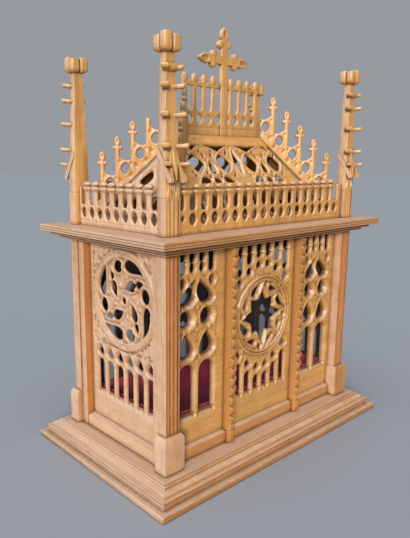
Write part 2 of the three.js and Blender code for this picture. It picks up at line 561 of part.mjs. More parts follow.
function frontTracery() {
  const holes = [];
  for (const c of [-112, -37.4, 37.4, 112]) {
    holes.push(flame(c, 129, 37, 42, -9));
    holes.push([[c - 22, 92], [c + 4, 87], [c + 20, 92], [c + 2, 103.5]]);
  }
  for (const c of [-74.6, 0, 74.6]) holes.push([[c - 3, 148], [c - 4, 122], [c + 5, 107], [c + 3, 128]]);
  for (const c of [-37.4, 37.4]) holes.push([[c - 26, 161.5], [c, 155.5], [c + 26, 161.5]]);
  for (const c of [-150, -75, 0, 75, 150]) holes.push([[c - 20, 58], [c, 46], [c + 20, 58], [c, 72]]);
  return holes;
}
function backTracery() {
  return [-112, -37.4, 37.4, 112].map((c) => ovalAt(c, 118, 48, 44, 90, 6)).concat([-150, -75, 0, 75, 150].map((c) => ovalAt(c, 62, 40, 26, 0, 4)));
}
function sideTracery() {
  return [
    flame(-28, 108, 36, 42, -8), flame(28, 108, 36, 42, -8), flame(0, 148, 20, 30, 0),
    [[-2, 118], [-4, 104], [0, 88], [4, 104]], [[-70, 64], [-48, 50], [-26, 64], [-48, 76]], [[26, 64], [48, 50], [70, 64], [48, 76]], [[-20, 64], [0, 50], [20, 64], [0, 76]],
  ];
}
const plainSide = () => [ovalAt(-28, 104, 38, 42, 90, 6), ovalAt(28, 104, 38, 42, 90, 6), ovalAt(0, 64, 40, 24, 0, 4)];
for (const [side, tracery] of [['front', frontTracery], ['back', backTracery], ['left', sideTracery], ['right', plainSide]]) {
  piece(SIDES[side], `roof_slope_${side}`, slope(side, tracery), WOOD.carved);
}

// ------------------------------------------------------------------ hip crests
// Drawn flat: h runs outward from the ridge end, z is the true height.
function hipCrest(broken) {
  const dx = ROOF.bx - ROOF.tx, dy = ROOF.by - ROOF.ty, run = Math.hypot(dx, dy);
  const fall = (ROOF.zt - ROOF.zb) / run;
  const line = (h) => ROOF.zt + GAP - h * fall;
  const end = run - 12;
  const outline = [[1, line(1)], [end, line(end)], [end, line(end) + HIP.band]];
  const holes = [];
  for (let i = 4; i >= 0; i--) {
    const h = HIP.first + 3 + i * HIP.pitch, z = line(h), lost = broken && i === 1;
    outline.push([h + 13.7, z + HIP.band + (i === 4 ? 4 : 22)]);
    outline.push([h + 3.8, z + 34 + (i === 4 ? 0 : 4)]);
    if (lost) {
      outline.push([h + 2.9, z + HIP.bar - 1], [h - 2.9, z + HIP.bar + 1.5]);
    } else {
      outline.push([h + 2.7, z + HIP.bar - 3], [h + 8, z + HIP.bar], [h + 3.6, z + HIP.bar + 4], [h, z + HIP.tip]);
      outline.push([h - 3.6, z + HIP.bar + 4], [h - 8, z + HIP.bar], [h - 2.7, z + HIP.bar - 3]);
    }
    outline.push([h - 3.8, z + 62]);
    if (i) holes.push(vesica(h - 13.7, line(h - 13.7) + 36, 15, 20));
  }
  outline.push([HIP.first + 3 - 13.7, line(HIP.first - 10.7) + 53], [1, line(1) + 56]);
  const geometry = plate(outline, holes, HIP.t);
  geometry.translate(0, HIP.t / 2, 0);
  geometry.rotateZ(Math.atan2(-dy, dx));
  return geometry;
}
for (const [name, sx, sy] of CORNERS) {
  const geometry = hipCrest(name === 'far_left');
  geometry.translate(ROOF.tx, -ROOF.ty, 0);          // drawn for the +X,-Y hip
  const pos = geometry.getAttribute('position');
  if (sx < 0 || sy > 0) {
    for (let i = 0; i < pos.count; i++) pos.setXY(i, pos.getX(i) * sx, pos.getY(i) * -sy);
    if (sx * -sy < 0) {                               // a single mirror turns the faces over
      const index = geometry.index.array;
      for (let i = 0; i < index.length; i += 3) [index[i], index[i + 1]] = [index[i + 1], index[i]];
    }
  }
  piece(reliquary, `hip_crest_${name}`, geometry, WOOD.carved);
}

// ----------------------------------------------------------------- ridge crest
{
  const outline = [[-CREST.hx, CREST.z0], [CREST.hx, CREST.z0]];
  for (let i = CREST.n; i >= 0; i--) {
    const x = -CREST.hx + 5 + i * CREST.pitch - (CREST.n * CREST.pitch - 2 * (CREST.hx - 5)) / 2;
    if (i === CREST.n) outline.push([CREST.hx, CREST.top]);
    if (i === CREST.n / 2) continue;
    outline.push([x + (i === CREST.n ? 3 : 3.4), CREST.top], [x + 5.4, CREST.top + 7], [x, CREST.bud], [x - 5.4, CREST.top + 7], [x - (i === 0 ? 3 : 3.4), CREST.top]);
    if (i === 0) outline.push([-CREST.hx, CREST.top]);
  }
  const holes = [];
  for (let i = 0; i < CREST.n; i++) {
    const x = (i - (CREST.n - 1) / 2) * CREST.pitch;
    holes.push(lancet(x, 18.4, 628.5, 671.5));
    holes.push(vesica(x, 612.8, 17, 20));
  }
  piece(reliquary, 'ridge_crest', plate(outline, holes, CREST.t), WOOD.carved, { position: [0, CREST.t / 2, 0] });
}

// ----------------------------------------------------------------------- cross
{
  const y0 = -8, y1 = 2, lap = -CREST.t / 2 - GAP, h = CROSS.w / 2, z = CROSS.z;
  const bud = (w, l) => [[0, w * 0.42], [l * 0.28, w * 0.5], [l, 0], [l * 0.28, -w * 0.5], [0, -w * 0.42]];
  const knob = (cx, cz, r) => ovalAt(cx, cz, 2 * r, 2 * r, 22, 8);
  const arm = h - 0.6;
  const upper = plate([
    [-h, CREST.bud - 15.5], [h, CREST.bud - 15.5], [h, z - arm], [41, z - arm], [43, z - 9.5], [50, z - 10], [CROSS.arm, z], [50, z + 10], [43, z + 9.5], [41, z + arm],
    [h, z + arm], [h, 756], [8.6, 760], [8, 768], [0, CROSS.top], [-8, 768], [-8.6, 760], [-h, 756],
    [-h, z + arm], [-41, z + arm], [-43, z + 9.5], [-50, z + 10], [-CROSS.arm, z], [-50, z - 10], [-43, z - 9.5], [-41, z - arm], [-h, z - arm],
  ], [], y1 - y0);
  upper.translate(0, y1, 0);
  let body = solid(upper).add(solid(box(-h, h, y0, lap, CREST.z0 + 1, CREST.bud - 14)));
  for (const [cx, cz] of [[-11.5, 749], [11.5, 749], [-33, z + 11], [-33, z - 11], [33, z + 11], [33, z - 11]]) {
    const k = plate(knob(cx, cz, 7), [], 11);
    k.translate(0, y1 + 0.5, 0);
    body = body.add(solid(k));
  }
  piece(reliquary, 'cross', surface(body), WOOD.carved);
}

export { counts };
export default reliquary;
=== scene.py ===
"""A neo-gothic reliquary in waxed light wood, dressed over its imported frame.

Sizes inside the makers are in millimetres, and meshes are written in metres.
A board is carved in its own plane: u runs along it, v up it, and w out of it.
"""
import math

import bpy
import numpy as np
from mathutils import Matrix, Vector
from mathutils.geometry import delaunay_2d_cdt


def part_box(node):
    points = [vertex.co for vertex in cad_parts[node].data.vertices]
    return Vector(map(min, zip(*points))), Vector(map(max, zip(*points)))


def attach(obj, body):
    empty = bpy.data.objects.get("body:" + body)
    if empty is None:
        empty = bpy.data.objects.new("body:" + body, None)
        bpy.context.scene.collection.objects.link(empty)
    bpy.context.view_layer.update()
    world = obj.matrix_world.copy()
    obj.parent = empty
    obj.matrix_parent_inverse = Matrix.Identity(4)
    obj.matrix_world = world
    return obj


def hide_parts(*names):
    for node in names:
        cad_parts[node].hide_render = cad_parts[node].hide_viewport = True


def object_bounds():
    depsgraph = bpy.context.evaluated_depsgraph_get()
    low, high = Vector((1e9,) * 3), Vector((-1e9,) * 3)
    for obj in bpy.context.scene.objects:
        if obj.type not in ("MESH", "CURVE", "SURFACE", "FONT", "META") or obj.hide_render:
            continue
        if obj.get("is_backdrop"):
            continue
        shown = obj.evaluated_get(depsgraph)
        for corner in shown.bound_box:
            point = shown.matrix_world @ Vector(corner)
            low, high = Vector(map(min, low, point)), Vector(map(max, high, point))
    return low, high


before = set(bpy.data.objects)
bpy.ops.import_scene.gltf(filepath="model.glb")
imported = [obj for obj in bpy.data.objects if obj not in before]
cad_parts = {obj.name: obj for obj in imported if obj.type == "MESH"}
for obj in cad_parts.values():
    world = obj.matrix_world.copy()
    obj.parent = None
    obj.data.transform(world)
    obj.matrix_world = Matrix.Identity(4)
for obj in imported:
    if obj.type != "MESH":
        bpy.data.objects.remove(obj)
CAD_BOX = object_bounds()

bl_info = {
    "name": "Neo-gothic reliquary",
    "version": (1, 0, 0),
    "blender": (4, 5, 0),
    "location": "3D View > Sidebar > Reliquary",
    "description": "Carved wood reliquary with pierced tracery, glass and a velvet lining",
    "category": "Object",
}

MM = 0.001
TURN = {"front": 0, "right": 90, "back": 180, "left": -90}
LONG_SIDES = ("front", "back")
FINE_SIDES = ("front", "left")
CORNERS = {"near_left": (-1, -1), "near_right": (1, -1), "far_left": (-1, 1), "far_right": (1, 1)}


def corners(node):
    """Lowest and highest corner of a CAD node, in mm."""
    return [[c / MM for c in corner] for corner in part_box(node)]


# The frame's own measures
BASE_HX, BASE_HY = corners("base_board")[1][:2]
POST_X, POST_Y = (abs(c) for c in corners("corner_post_near_left")[0][:2])
PANEL_Z0, PANEL_Z1 = (corner[2] for corner in corners("tracery_panel_front_left"))
FRONT_PLANE = -corners("tracery_panel_front_left")[0][1]
SIDE_PLANE = corners("tracery_panel_right_side")[1][0]
CORNICE_TOP = corners("cornice_front")[1][2]

# Stock sizes and main heights
CASE_Z0, CASE_Z1 = 37.9, 398.2
BASE_THICK, PLINTH_Z = 11, 37.5
PANEL_THICK, RAIL_THICK, ROOF_THICK, HIP_THICK, CREST_THICK = 12, 5.6, 6.2, 8.6, 6
POST_FACE, POST_SIDE = 29.4, 19.7
ROSE_Z, WHEEL_Z = 254.8, 298.9
PIER_X = 97.2
BAY_X = 170
RIDGE_Z = 583.0
# The mesh of a hidden side is coarser by these factors
COARSE_SIDE, COARSE_ROOF, COARSE_BACK = 1.6, 1.7, 1.8

# Sections of the mouldings, as (inset from the edge, height)
BASE_PROFILE = [
    (12.0, 13.8), (13.2, 14.3), (13.2, 15.1), (12.0, 15.6), (12.0, 20.0), (13.2, 20.5),
    (13.2, 21.3), (12.0, 21.8), (12.0, 23.4), (12.2, 24.2), (13.0, 24.5), (17.2, 24.6),
    (18.0, 25.4), (18.2, 26.4), (19.3, 26.5), (19.6, 27.8), (21, 29.0), (23.2, 30.1),
    (25.6, 30.8), (27.4, 31.9), (28.0, 33.0), (29.2, 33.0), (29.3, 34.4), (30, 35.6),
    (31.6, 36.1), (33.0, 35.6), (33.2, 36.9), (33.6, 37.5), (50, 37.5), (50, 25.4),
    (62, 25.4), (62, 11.3), (12, 11.3),
]
CORNICE_PROFILE = [
    (98, 424.2), (98, 417.4), (104, 417.4), (104, 411.8), (68, 411.8), (68, 398.6),
    (27.4, 398.7), (25.6, 399.2), (25.0, 400.8), (25.8, 402.2), (24.1, 402.7), (24.1, 404.0),
    (23.6, 404.6), (20.2, 404.7), (19.8, 405.9), (18.6, 405.9), (18.2, 404.7), (15.4, 404.9),
    (14.0, 406.0), (13.8, 407.4), (14.8, 408.1), (14.8, 409.1), (13.1, 409.5), (13.1, 411.2),
    (12.8, 411.8), (0.9, 411.9), (0.2, 412.5), (0, 413.6), (0.2, 414.6), (1.3, 415.0),
    (1.3, 415.8), (0.2, 416.3), (0, 417.6), (0.2, 418.9), (1.2, 419.4), (1.2, 420.2),
    (0, 420.7), (0, 423.6), (0.5, 424.1),
]


# ------------------------------------------------------------------ settings
def linear(code):
    """sRGB hex to a linear RGBA colour."""
    parts = [int(code[k : k + 2], 16) / 255 for k in (0, 2, 4)]
    return [c / 12.92 if c <= 0.04045 else ((c + 0.055) / 1.055) ** 2.4 for c in parts] + [1.0]


def length_setting(name, description, size, least=0.0):
    """A length that a user may change, in mm here and shown in the scene's unit."""
    return bpy.props.FloatProperty(
        name=name, description=description, default=size * MM, min=least * MM, unit="LENGTH"
    )


def colour_setting(name, description, code):
    """A colour that a user may change, as sRGB hex here."""
    return bpy.props.FloatVectorProperty(
        name=name, description=description, default=linear(code),
        size=4, min=0, max=1, subtype="COLOR",
    )


class ReliquaryCarving(bpy.types.PropertyGroup):
    """Sizes of the carving"""

    cell: length_setting("Carving cell", "Spacing of the carved faces' mesh", 1.6, 0.6)
    fine_cell: length_setting("Fine cell", "Spacing on balustrades and crestings", 1.2, 0.5)
    arris: length_setting("Arris", "How far a cut edge is rounded over", 2.0)
    waviness: length_setting("Hand-planed waviness", "How far plain boards wander from flat", 0.18)


class ReliquaryFinish(bpy.types.PropertyGroup):
    """Colours of the wood and the velvet"""

    honey: colour_setting("Honey wood", "Light tone of the long sides' boards", "c18d57")
    amber: colour_setting("Amber wood", "Dark tone of grain and recesses", "7a4520")
    varnish: colour_setting("Amber varnish", "Light tone of the corner posts", "c08048")
    husk: colour_setting("Shaded amber", "Light tone of the piers", "c8934e")
    # Painted shade: the piers' faces turned to the window lamp are painted in this darker tone
    pier_lamp_side_shade: colour_setting("Shaded bleach", "Tone of the piers' lit faces", "ab7038")
    gold: colour_setting("Carved gold", "Light tone of the carving", "d2a25f")
    # Partly fading and partly painted light: the short sides, the left one turned to the window
    # lamp, are paler than the long ones
    blush: colour_setting("Blush wood", "Light tone of the short sides", "cba27c")
    faded_lit_dark: colour_setting("Drab wood", "Dark tone of the short sides", "8a5f3e")
    # Partly bleaching and partly painted light: tops and faces turned to the window lamp are mixed
    # towards this paler tone and its dark grain
    lamp_side_tone: colour_setting("Bleached wood", "Tone of tops and of the window side", "d8baa0")
    lamp_side_grain: colour_setting("Bleached grain", "Dark tone of bleached wood", "a98664")
    velvet: colour_setting("Velvet", "Crimson of the lining", "cc2a60")
    velvet_nap: colour_setting("Brushed velvet", "Where the pile is brushed flat", "e65080")
    velvet_sheen: colour_setting("Velvet sheen", "Tint of the pile seen edge-on", "e0608a")


def setting(key):
    """A length of the carving's settings, in mm."""
    return getattr(bpy.context.scene.reliquary_carving, key) / MM


def tone(key):
    """A colour of the finish's settings."""
    return list(getattr(bpy.context.scene.reliquary_finish, key))


# ----------------------------------------------------------------- materials
def add_node(tree, kind, give=0, **settings):
    """Adds a node and gives back one of its outputs.

    A key in lower case is one of the node's own settings. Any other names an input, or
    numbers it (_0), and the input is linked to an output or filled with a value.
    """
    node = tree.nodes.new("ShaderNode" + kind)
    for key, value in settings.items():
        if key[0].islower():
            setattr(node, key, value)
            continue
        socket = node.inputs[int(key[1:]) if key[0] == "_" else key.replace("_", " ")]
        if isinstance(value, bpy.types.NodeSocket):
            tree.links.new(value, socket)
        else:
            socket.default_value = value
    return node.outputs[give] if len(node.outputs) else None


def blank(name):
    """A new material and its empty tree."""
    material = bpy.data.materials.new(name)
    material.use_nodes = True
    material.node_tree.nodes.clear()
    return material, material.node_tree


def waxed_wood(name, along, light, dark, lamp_side_tone, roughness, recess_shade_strength, pore_tone, seed):
    """Light hardwood, planed or carved and waxed.

    Fibres a few millimetres apart run with the grain, over rings and broad honey and
    amber clouds, and short dark pores catch the wax. Sunk places and narrow creases are
    darkened with painted shade. Tops and faces turned to the window lamp are painted a
    pinkish grey, partly bleaching and partly painted light, which cools them beside the gold.
    """
    material, t = blank(name)
    place = add_node(t, "TexCoord", "Object")
    grain_length = 14
    stretch = [1 / grain_length if axis == along else 1 for axis in "XYZ"]
    shift = [seed * share for share in (0.37, 0.53, 0.71)]
    fibre_place = add_node(t, "Mapping", Vector=place, Scale=stretch, Location=shift)
    # each pattern with its width across the grain in mm
    clouds, stains, fibres, rings, pores = (
        add_node(
            t, "TexNoise", "Fac", Vector=where, Scale=1 / (width * MM),
            Detail=detail, Roughness=rough,
        )
        for where, width, detail, rough in (
            (fibre_place, 60, 3, 0.55),
            (place, 22, 4, 0.65),
            (fibre_place, 3.2, 5, 0.66),
            (fibre_place, 11, 2, 0.5),
            (fibre_place, 1.7, 2, 0.6),
        )
    )
    grain = 0.0
    for pattern, share in ((fibres, 0.42), (rings, 0.30), (clouds, 0.28), (stains, 0.22)):
        grain = add_node(t, "Math", operation="MULTIPLY_ADD", _0=pattern, _1=share, _2=grain)
    grain = add_node(t, "MapRange", Value=grain, From_Min=0.44, From_Max=0.76, To_Min=0.40)

    # Painted light: faces turned towards the window lamp are painted paler, partly as bleaching
    lamp_side = (-0.76, 0.22, 0.9)
    normal = place.node.outputs["Normal"]
    lamp_facing = add_node(
        t, "VectorMath", "Value", operation="DOT_PRODUCT", _0=normal, _1=lamp_side
    )
    lamp_facing = add_node(t, "Math", operation="MULTIPLY_ADD", _0=stains, _1=0.5, _2=lamp_facing)
    painted_light_share = add_node(t, "MapRange", Value=lamp_facing, From_Min=0.62, From_Max=1.05, To_Max=0.9)
    high = add_node(t, "Mix", 2, data_type="RGBA", _0=painted_light_share, _6=light, _7=lamp_side_tone)
    low = add_node(t, "Mix", 2, data_type="RGBA", _0=painted_light_share, _6=dark, _7=tone("lamp_side_grain"))
    base = add_node(t, "Mix", 2, data_type="RGBA", _0=grain, _6=low, _7=high)

    specks = add_node(t, "MapRange", Value=pores, From_Min=0.60, From_Max=0.74, To_Max=pore_tone)
    # Painted shade: sunk and creased parts of the carvings and the faces inside the case are
    # painted darker
    painted_recess_shade = add_node(t, "Attribute", "Fac", attribute_name="carve")
    painted_recess_shade = add_node(t, "MapRange", Value=painted_recess_shade, From_Min=0.12, To_Max=recess_shade_strength)
    # Painted shade: the occlusion node darkens narrow creases and nooks, where shade falls
    painted_nook_shade = add_node(t, "AmbientOcclusion", "AO", samples=6, Distance=9.5 * MM)
    painted_nook_shade = add_node(
        t, "MapRange", Value=painted_nook_shade, From_Min=0.28, From_Max=0.90, To_Min=0.90, To_Max=0.0
    )
    # This dark tone marks the pores, which are real, and the painted shade of recesses and nooks
    soot_and_shade = [c * 0.4 for c in dark[:3]] + [1]
    for mask in (specks, painted_recess_shade, painted_nook_shade):
        base = add_node(t, "Mix", 2, data_type="RGBA", _0=mask, _6=base, _7=soot_and_shade)

    height = add_node(t, "Math", operation="MULTIPLY_ADD", _0=specks, _1=-1.0, _2=fibres)
    bump = add_node(t, "Bump", Strength=0.35, Distance=0.7 * MM, Height=height)
    gloss = add_node(
        t, "MapRange", Value=stains, From_Min=0.3, From_Max=0.7,
        To_Min=roughness - 0.08, To_Max=roughness + 0.12,
    )
    shader = add_node(t, "BsdfPrincipled", Base_Color=base, Roughness=gloss, Normal=bump, IOR=1.5)
    add_node(t, "OutputMaterial", Surface=shader)
    return material


def clear_glass():
    """Old drawn window glass, 2 mm: nearly invisible, with a cool soft reflection."""
    material, t = blank("drawn_window_glass_clear")
    place = add_node(t, "TexCoord", "Object")
    ripple = add_node(t, "TexNoise", "Fac", Vector=place, Scale=1 / (45 * MM), Detail=1)
    bump = add_node(t, "Bump", Strength=0.12, Distance=0.8 * MM, Height=ripple)
    shader = add_node(
        t, "BsdfPrincipled", Base_Color=linear("1d262b"), Roughness=0.05, IOR=1.52,
        Alpha=0.15, Normal=bump,
    )
    add_node(t, "OutputMaterial", Surface=shader)
    return material


def crimson_velvet():
    """Silk velvet, glued down: deep crimson that lightens where the pile is seen edge-on."""
    material, t = blank("silk_velvet_crimson")
    place = add_node(t, "TexCoord", "Object")
    brushed = add_node(t, "TexNoise", "Fac", Vector=place, Scale=1 / (35 * MM), Detail=3)
    pile = add_node(t, "TexNoise", "Fac", Vector=place, Scale=1 / (1.2 * MM), Detail=2)
    brushed = add_node(t, "MapRange", Value=brushed, From_Min=0.35, From_Max=0.65)
    base = add_node(
        t, "Mix", 2, data_type="RGBA", _0=brushed, _6=tone("velvet"), _7=tone("velvet_nap")
    )
    bump = add_node(t, "Bump", Strength=0.4, Distance=0.5 * MM, Height=pile)
    shader = add_node(
        t, "BsdfPrincipled", Base_Color=base, Roughness=0.92, Normal=bump,
        Sheen_Weight=0.8, Sheen_Roughness=0.4, Sheen_Tint=tone("velvet_sheen"),
    )
    add_node(t, "OutputMaterial", Surface=shader)
    return material


# Each wood: its name, light, dark and lamp-side tones (painted light, partly bleaching),
# roughness, painted shade in sunk places, strength of the pores, and where its grain starts
WOODS = {
    "board": ("oak_planed_waxed", "honey", "amber", "lamp_side_tone", 0.45, 0.7, 0.45, 0),
    "carved": ("oak_carved_golden_wax", "gold", "amber", "lamp_side_tone", 0.36, 0.85, 0.3, 3),
    # the paler short sides: partly faded, partly painted light
    "blush": ("oak_faded_waxed", "blush", "faded_lit_dark", "lamp_side_tone", 0.48, 0.8, 0.4, 7),
    "varnished": ("oak_amber_varnish", "varnish", "amber", "lamp_side_tone", 0.4, 0.8, 0.45, 11),
    # the piers: their faces turned to the window lamp are painted darker, as painted shade
    "shaded": ("oak_amber_varnish_shaded", "husk", "amber", "pier_lamp_side_shade", 0.38, 0.85, 0.4, 13),
}
FINISHES = {}


def finish_for(kind, along="Z"):
    """The finish of a kind of piece, with its grain along an axis."""
    key = (kind, along)
    if key not in FINISHES:
        if kind in WOODS:
            name, light, dark, lamp_side_tone, roughness, recess_shade_strength, pore_tone, start = WOODS[kind]
            FINISHES[key] = waxed_wood(
                f"{name}_{along.lower()}", along, tone(light), tone(dark), tone(lamp_side_tone),
                roughness, recess_shade_strength, pore_tone, start + ord(along),
            )
        else:
            FINISHES[key] = {"glass": clear_glass, "velvet": crimson_velvet}[kind]()
    return FINISHES[key]


def planed_finish(side):
    """Planed wood along a side; the short sides are paler, partly faded and partly painted light.
    """
    return finish_for("board", "X") if side in LONG_SIDES else finish_for("blush", "Y")


# --------------------------------------------------------------- mesh helpers
def new_piece(name, points_mm, face_sets, material, carve=None, sharp=40):
    """Writes a mesh from points in mm and arrays of faces, and links it."""
    mesh = bpy.data.meshes.new(name)
    points = np.asarray(points_mm, dtype=np.float64) * MM
    face_sets = [np.asarray(f, dtype=np.int64) for f in face_sets if len(f)]
    loops = np.concatenate([f.ravel() for f in face_sets])
    sizes = np.concatenate([np.full(len(f), f.shape[1]) for f in face_sets])
    starts = np.concatenate([[0], np.cumsum(sizes)[:-1]])
    mesh.vertices.add(len(points))
    mesh.vertices.foreach_set("co", points.astype(np.float32).ravel())
    mesh.loops.add(len(loops))
    mesh.loops.foreach_set("vertex_index", loops.astype(np.int32))
    mesh.polygons.add(len(sizes))
    mesh.polygons.foreach_set("loop_start", starts.astype(np.int32))
    mesh.update(calc_edges=True)
    mesh.validate()
    mesh.shade_smooth()
    mesh.set_sharp_from_angle(angle=math.radians(sharp))
    # Painted shade: a point attribute by which the wood is darkened in recesses
    if carve is not None:
        depths = mesh.attributes.new("carve", "FLOAT", "POINT")
        depths.data.foreach_set("value", np.clip(carve, 0, 1).astype(np.float32))
    mesh.materials.append(material)
    piece = bpy.data.objects.new(name, mesh)
    bpy.context.collection.objects.link(piece)
    return piece


def settle(piece, node):
    """The piece stands for a CAD node and rides with the case."""
    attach(piece, "root")
    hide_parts(node)
    return piece


class Stock:
    """Closed bodies gathered into one piece."""

    def __init__(self):
        self.points, self.faces, self.carve, self.count = [], {}, [], 0

    def add(self, points, faces, carve=0.0):
        """A closed body, from its points and faces."""
        points = np.asarray(points, dtype=float)
        for face in faces:
            self.faces.setdefault(len(face), []).append([self.count + i for i in face])
        self.points.append(points)
        self.carve.append(np.broadcast_to(carve, (len(points),)))
        self.count += len(points)

    def loft(self, rings, carve=0.0):
        """Closed rings of equal length, anticlockwise seen from the last one."""
        n, m = len(rings[0]), len(rings)
        faces = [
            [k * n + i, k * n + (i + 1) % n, (k + 1) * n + (i + 1) % n, (k + 1) * n + i]
            for k in range(m - 1)
            for i in range(n)
        ]
        faces += [list(range(n))[::-1], [(m - 1) * n + i for i in range(n)]]
        self.add(np.concatenate([np.asarray(r, dtype=float) for r in rings]), faces, carve)

    def stand(self, node, suffix, slot, material, sharp=40, flip=False):
        """Writes the piece that stands for a CAD node."""
        sets = [np.array(f)[:, ::-1] if flip else np.array(f) for f in self.faces.values()]
        points, carve = np.concatenate(self.points), np.concatenate(self.carve)
        settle(new_piece(f"{node}_{suffix}", points, sets, material, carve, sharp), node)


def two_skins(faces, n, rim):
    """Faces of a closed board: a skin, the same n points behind it, and walls on its rim."""
    walls = np.stack([rim[:, 1], rim[:, 0], rim[:, 0] + n, rim[:, 1] + n], -1)
    return [*faces, *(f[:, ::-1] + n for f in faces), walls]


def open_edges(faces, n):
    """Edges of n points' faces that have a face on one side only."""
    pairs = np.concatenate([
        np.stack([f[:, q], f[:, (q + 1) % f.shape[1]]], -1)
        for f in faces
        for q in range(f.shape[1])
    ])
    return pairs[~np.isin(pairs[:, 0] * n + pairs[:, 1], pairs[:, 1] * n + pairs[:, 0])]


# ------------------------------------------------------------------- outlines
def both_sides(middle, half, v):
    """A closed outline from its half-widths about a middle line."""
    right = np.stack([middle + half, v], -1)
    left = np.stack([middle - half, v], -1)[::-1]
    return np.concatenate([right, left[1:-1]])


def oval(u, v, w, h, turn=0.0, n=30):
    """An oval w across and h tall, turned by so many degrees."""
    a = np.linspace(0, 2 * math.pi, n, endpoint=False)
    c, s = math.cos(math.radians(turn)), math.sin(math.radians(turn))
    x, y = w / 2 * np.cos(a), h / 2 * np.sin(a)
    return np.stack([u + x * c - y * s, v + x * s + y * c], -1)


def pointed_oval(u, v, w, h, power=1.8, n=13):
    """An oval drawn out to a point at head and foot."""
    s = np.linspace(-1, 1, n)
    return both_sides(u, w / 2 * (1 - np.abs(s) ** power), v + s * h / 2)


def drop_half_width(s, low=0.34):
    """Share of a drop's half-width: round up to low, then drawn out to a point."""
    round_foot = np.sqrt(np.clip(1 - ((low - s) / low) ** 2, 0, 1))
    return np.where(s < low, round_foot, 1 - np.clip((s - low) / (1 - low), 0, 1) ** 1.75)


def teardrop(u, v0, v1, w, lean=0.0, n=17):
    """An upright drop from a round foot to a point, which may lean."""
    s = np.linspace(0, 1, n) ** 1.15
    return both_sides(u + lean * s**1.6, w / 2 * drop_half_width(s), v0 + s * (v1 - v0))


def pod(start, middle, end, width, low=0.4, n=19):
    """A curved pod from a round foot at start, through middle, to a point at end."""
    a, m, b = (np.array(q, dtype=float) for q in (start, middle, end))
    knee = 2 * m - (a + b) / 2
    s = (np.linspace(0, 1, n) ** 1.1)[:, None]
    spine = (1 - s) ** 2 * a + 2 * s * (1 - s) * knee + s**2 * b
    along = 2 * (1 - s) * (knee - a) + 2 * s * (b - knee)
    along /= np.hypot(along[:, :1], along[:, 1:]) + 1e-9
    half = width / 2 * drop_half_width(s, low)
    across = np.column_stack([along[:, 1], -along[:, 0]])
    return np.concatenate([spine + across * half, (spine - across * half)[1:-1][::-1]])


def diamond(u, v, w, h, power=1.35, n=40):
    """A square set on its point, with full rounded sides."""
    a = np.linspace(0, 2 * math.pi, n, endpoint=False)
    c, s = np.cos(a), np.sin(a)
    r = (np.abs(c) ** power + np.abs(s) ** power) ** (-1 / power)
    return np.stack([u + w / 2 * r * c, v + h / 2 * r * s], -1)


def arched(u, w, v0, v1, n=11):
    """A light with a round head and a square foot."""
    a = np.linspace(0, math.pi, n)
    head = np.stack([u + w / 2 * np.cos(a), v1 - w / 2 + w / 2 * np.sin(a)], -1)
    return np.concatenate([[[u - w / 2, v0], [u + w / 2, v0]], head])


def lancet(u, w, v0, v1, n=9):
    """A narrow light with both ends rounded."""
    a = np.linspace(0, math.pi, n)
    top = np.stack([u + w / 2 * np.cos(a), v1 - w / 3 + w / 3 * np.sin(a)], -1)
    low = np.stack([u - w / 2 * np.cos(a), v0 + w / 2.4 - w / 2.4 * np.sin(a)], -1)
    return np.concatenate([low, top])


def square(u0, u1, v0, v1):
    """An upright rectangle."""
    return np.array([[u0, v0], [u1, v0], [u1, v1], [u0, v1]], dtype=float)


def spread(u, rows):
    """An outline of (half-width, height) rows from the foot up, the same on both sides."""
    right = [(u + half, v) for half, v in rows]
    left = [(u - half, v) for half, v in rows[::-1]]
    return np.array(right + left)


def at(r, degrees, u=0.0, v=0.0):
    """A point at a distance and a bearing from (u, v)."""
    return u + r * math.cos(math.radians(degrees)), v + r * math.sin(math.radians(degrees))


def whirled(spine, q, z, width, low=0.4):
    """A pod by (radius, degrees) round the height z, turned by q degrees."""
    return pod(*(at(r, turn + q) for r, turn in spine), width, low) + [0, z]


# -------------------------------------------------------------------- carving
# Faces of one cell of the grid, by which of its corners are wood (1, 2, 4, 8). Points 0 to
# 3 are the corners, and 4 to 7 lie where the outline crosses the sides between them.
CASES = {
    1: [(0, 4, 7)], 2: [(1, 5, 4)], 3: [(0, 1, 5, 7)], 4: [(2, 6, 5)],
    5: [(0, 4, 7), (2, 6, 5)], 6: [(1, 2, 6, 4)], 7: [(0, 1, 2, 6, 7)], 8: [(3, 7, 6)],
    9: [(0, 4, 6, 3)], 10: [(1, 5, 4), (3, 7, 6)], 11: [(0, 1, 5, 6, 3)],
    12: [(2, 3, 7, 5)], 13: [(0, 4, 5, 2, 3)], 14: [(1, 2, 3, 7, 4)], 15: [(0, 1, 2, 3)],
}
FULL_WOOD = 40.0  # edge distance where nothing is cut yet
# Painted shade: the faces inside the case are painted this dark
INNER_SHADE = 0.8  # how dark the faces inside the case are


def outside_distance(U, V, outline):
    """Distance in mm from an outline: positive outside, negative inside."""
    best = np.full(U.shape, 1e12)
    inside = np.zeros(U.shape, dtype=bool)
    for (ax, ay), (bx, by) in zip(outline, np.roll(outline, -1, axis=0)):
        ex, ey = bx - ax, by - ay
        wx, wy = U - ax, V - ay
        t = np.clip((wx * ex + wy * ey) / (ex * ex + ey * ey + 1e-12), 0, 1)
        best = np.minimum(best, (wx - t * ex) ** 2 + (wy - t * ey) ** 2)
        if abs(ey) > 1e-12:
            inside ^= ((ay > V) != (by > V)) & (wx < ex * wy / ey)
    return np.where(inside, -np.sqrt(best), np.sqrt(best))


def softened(field, rounds):
    """The field averaged with its neighbours, so many times."""
    for _ in range(rounds):
        p = np.pad(field, 1, mode="edge")
        field = (field * 2 + p[2:, 1:-1] + p[:-2, 1:-1] + p[1:-1, 2:] + p[1:-1, :-2]) / 6
    return field


def step_of(x, ticks):
    """The step of an even scale that holds x, and how far along it x lies."""
    size = ticks[1] - ticks[0]
    k = min(max(int((x - ticks[0]) / size), 0), len(ticks) - 2)
    return k, (x - ticks[k]) / size


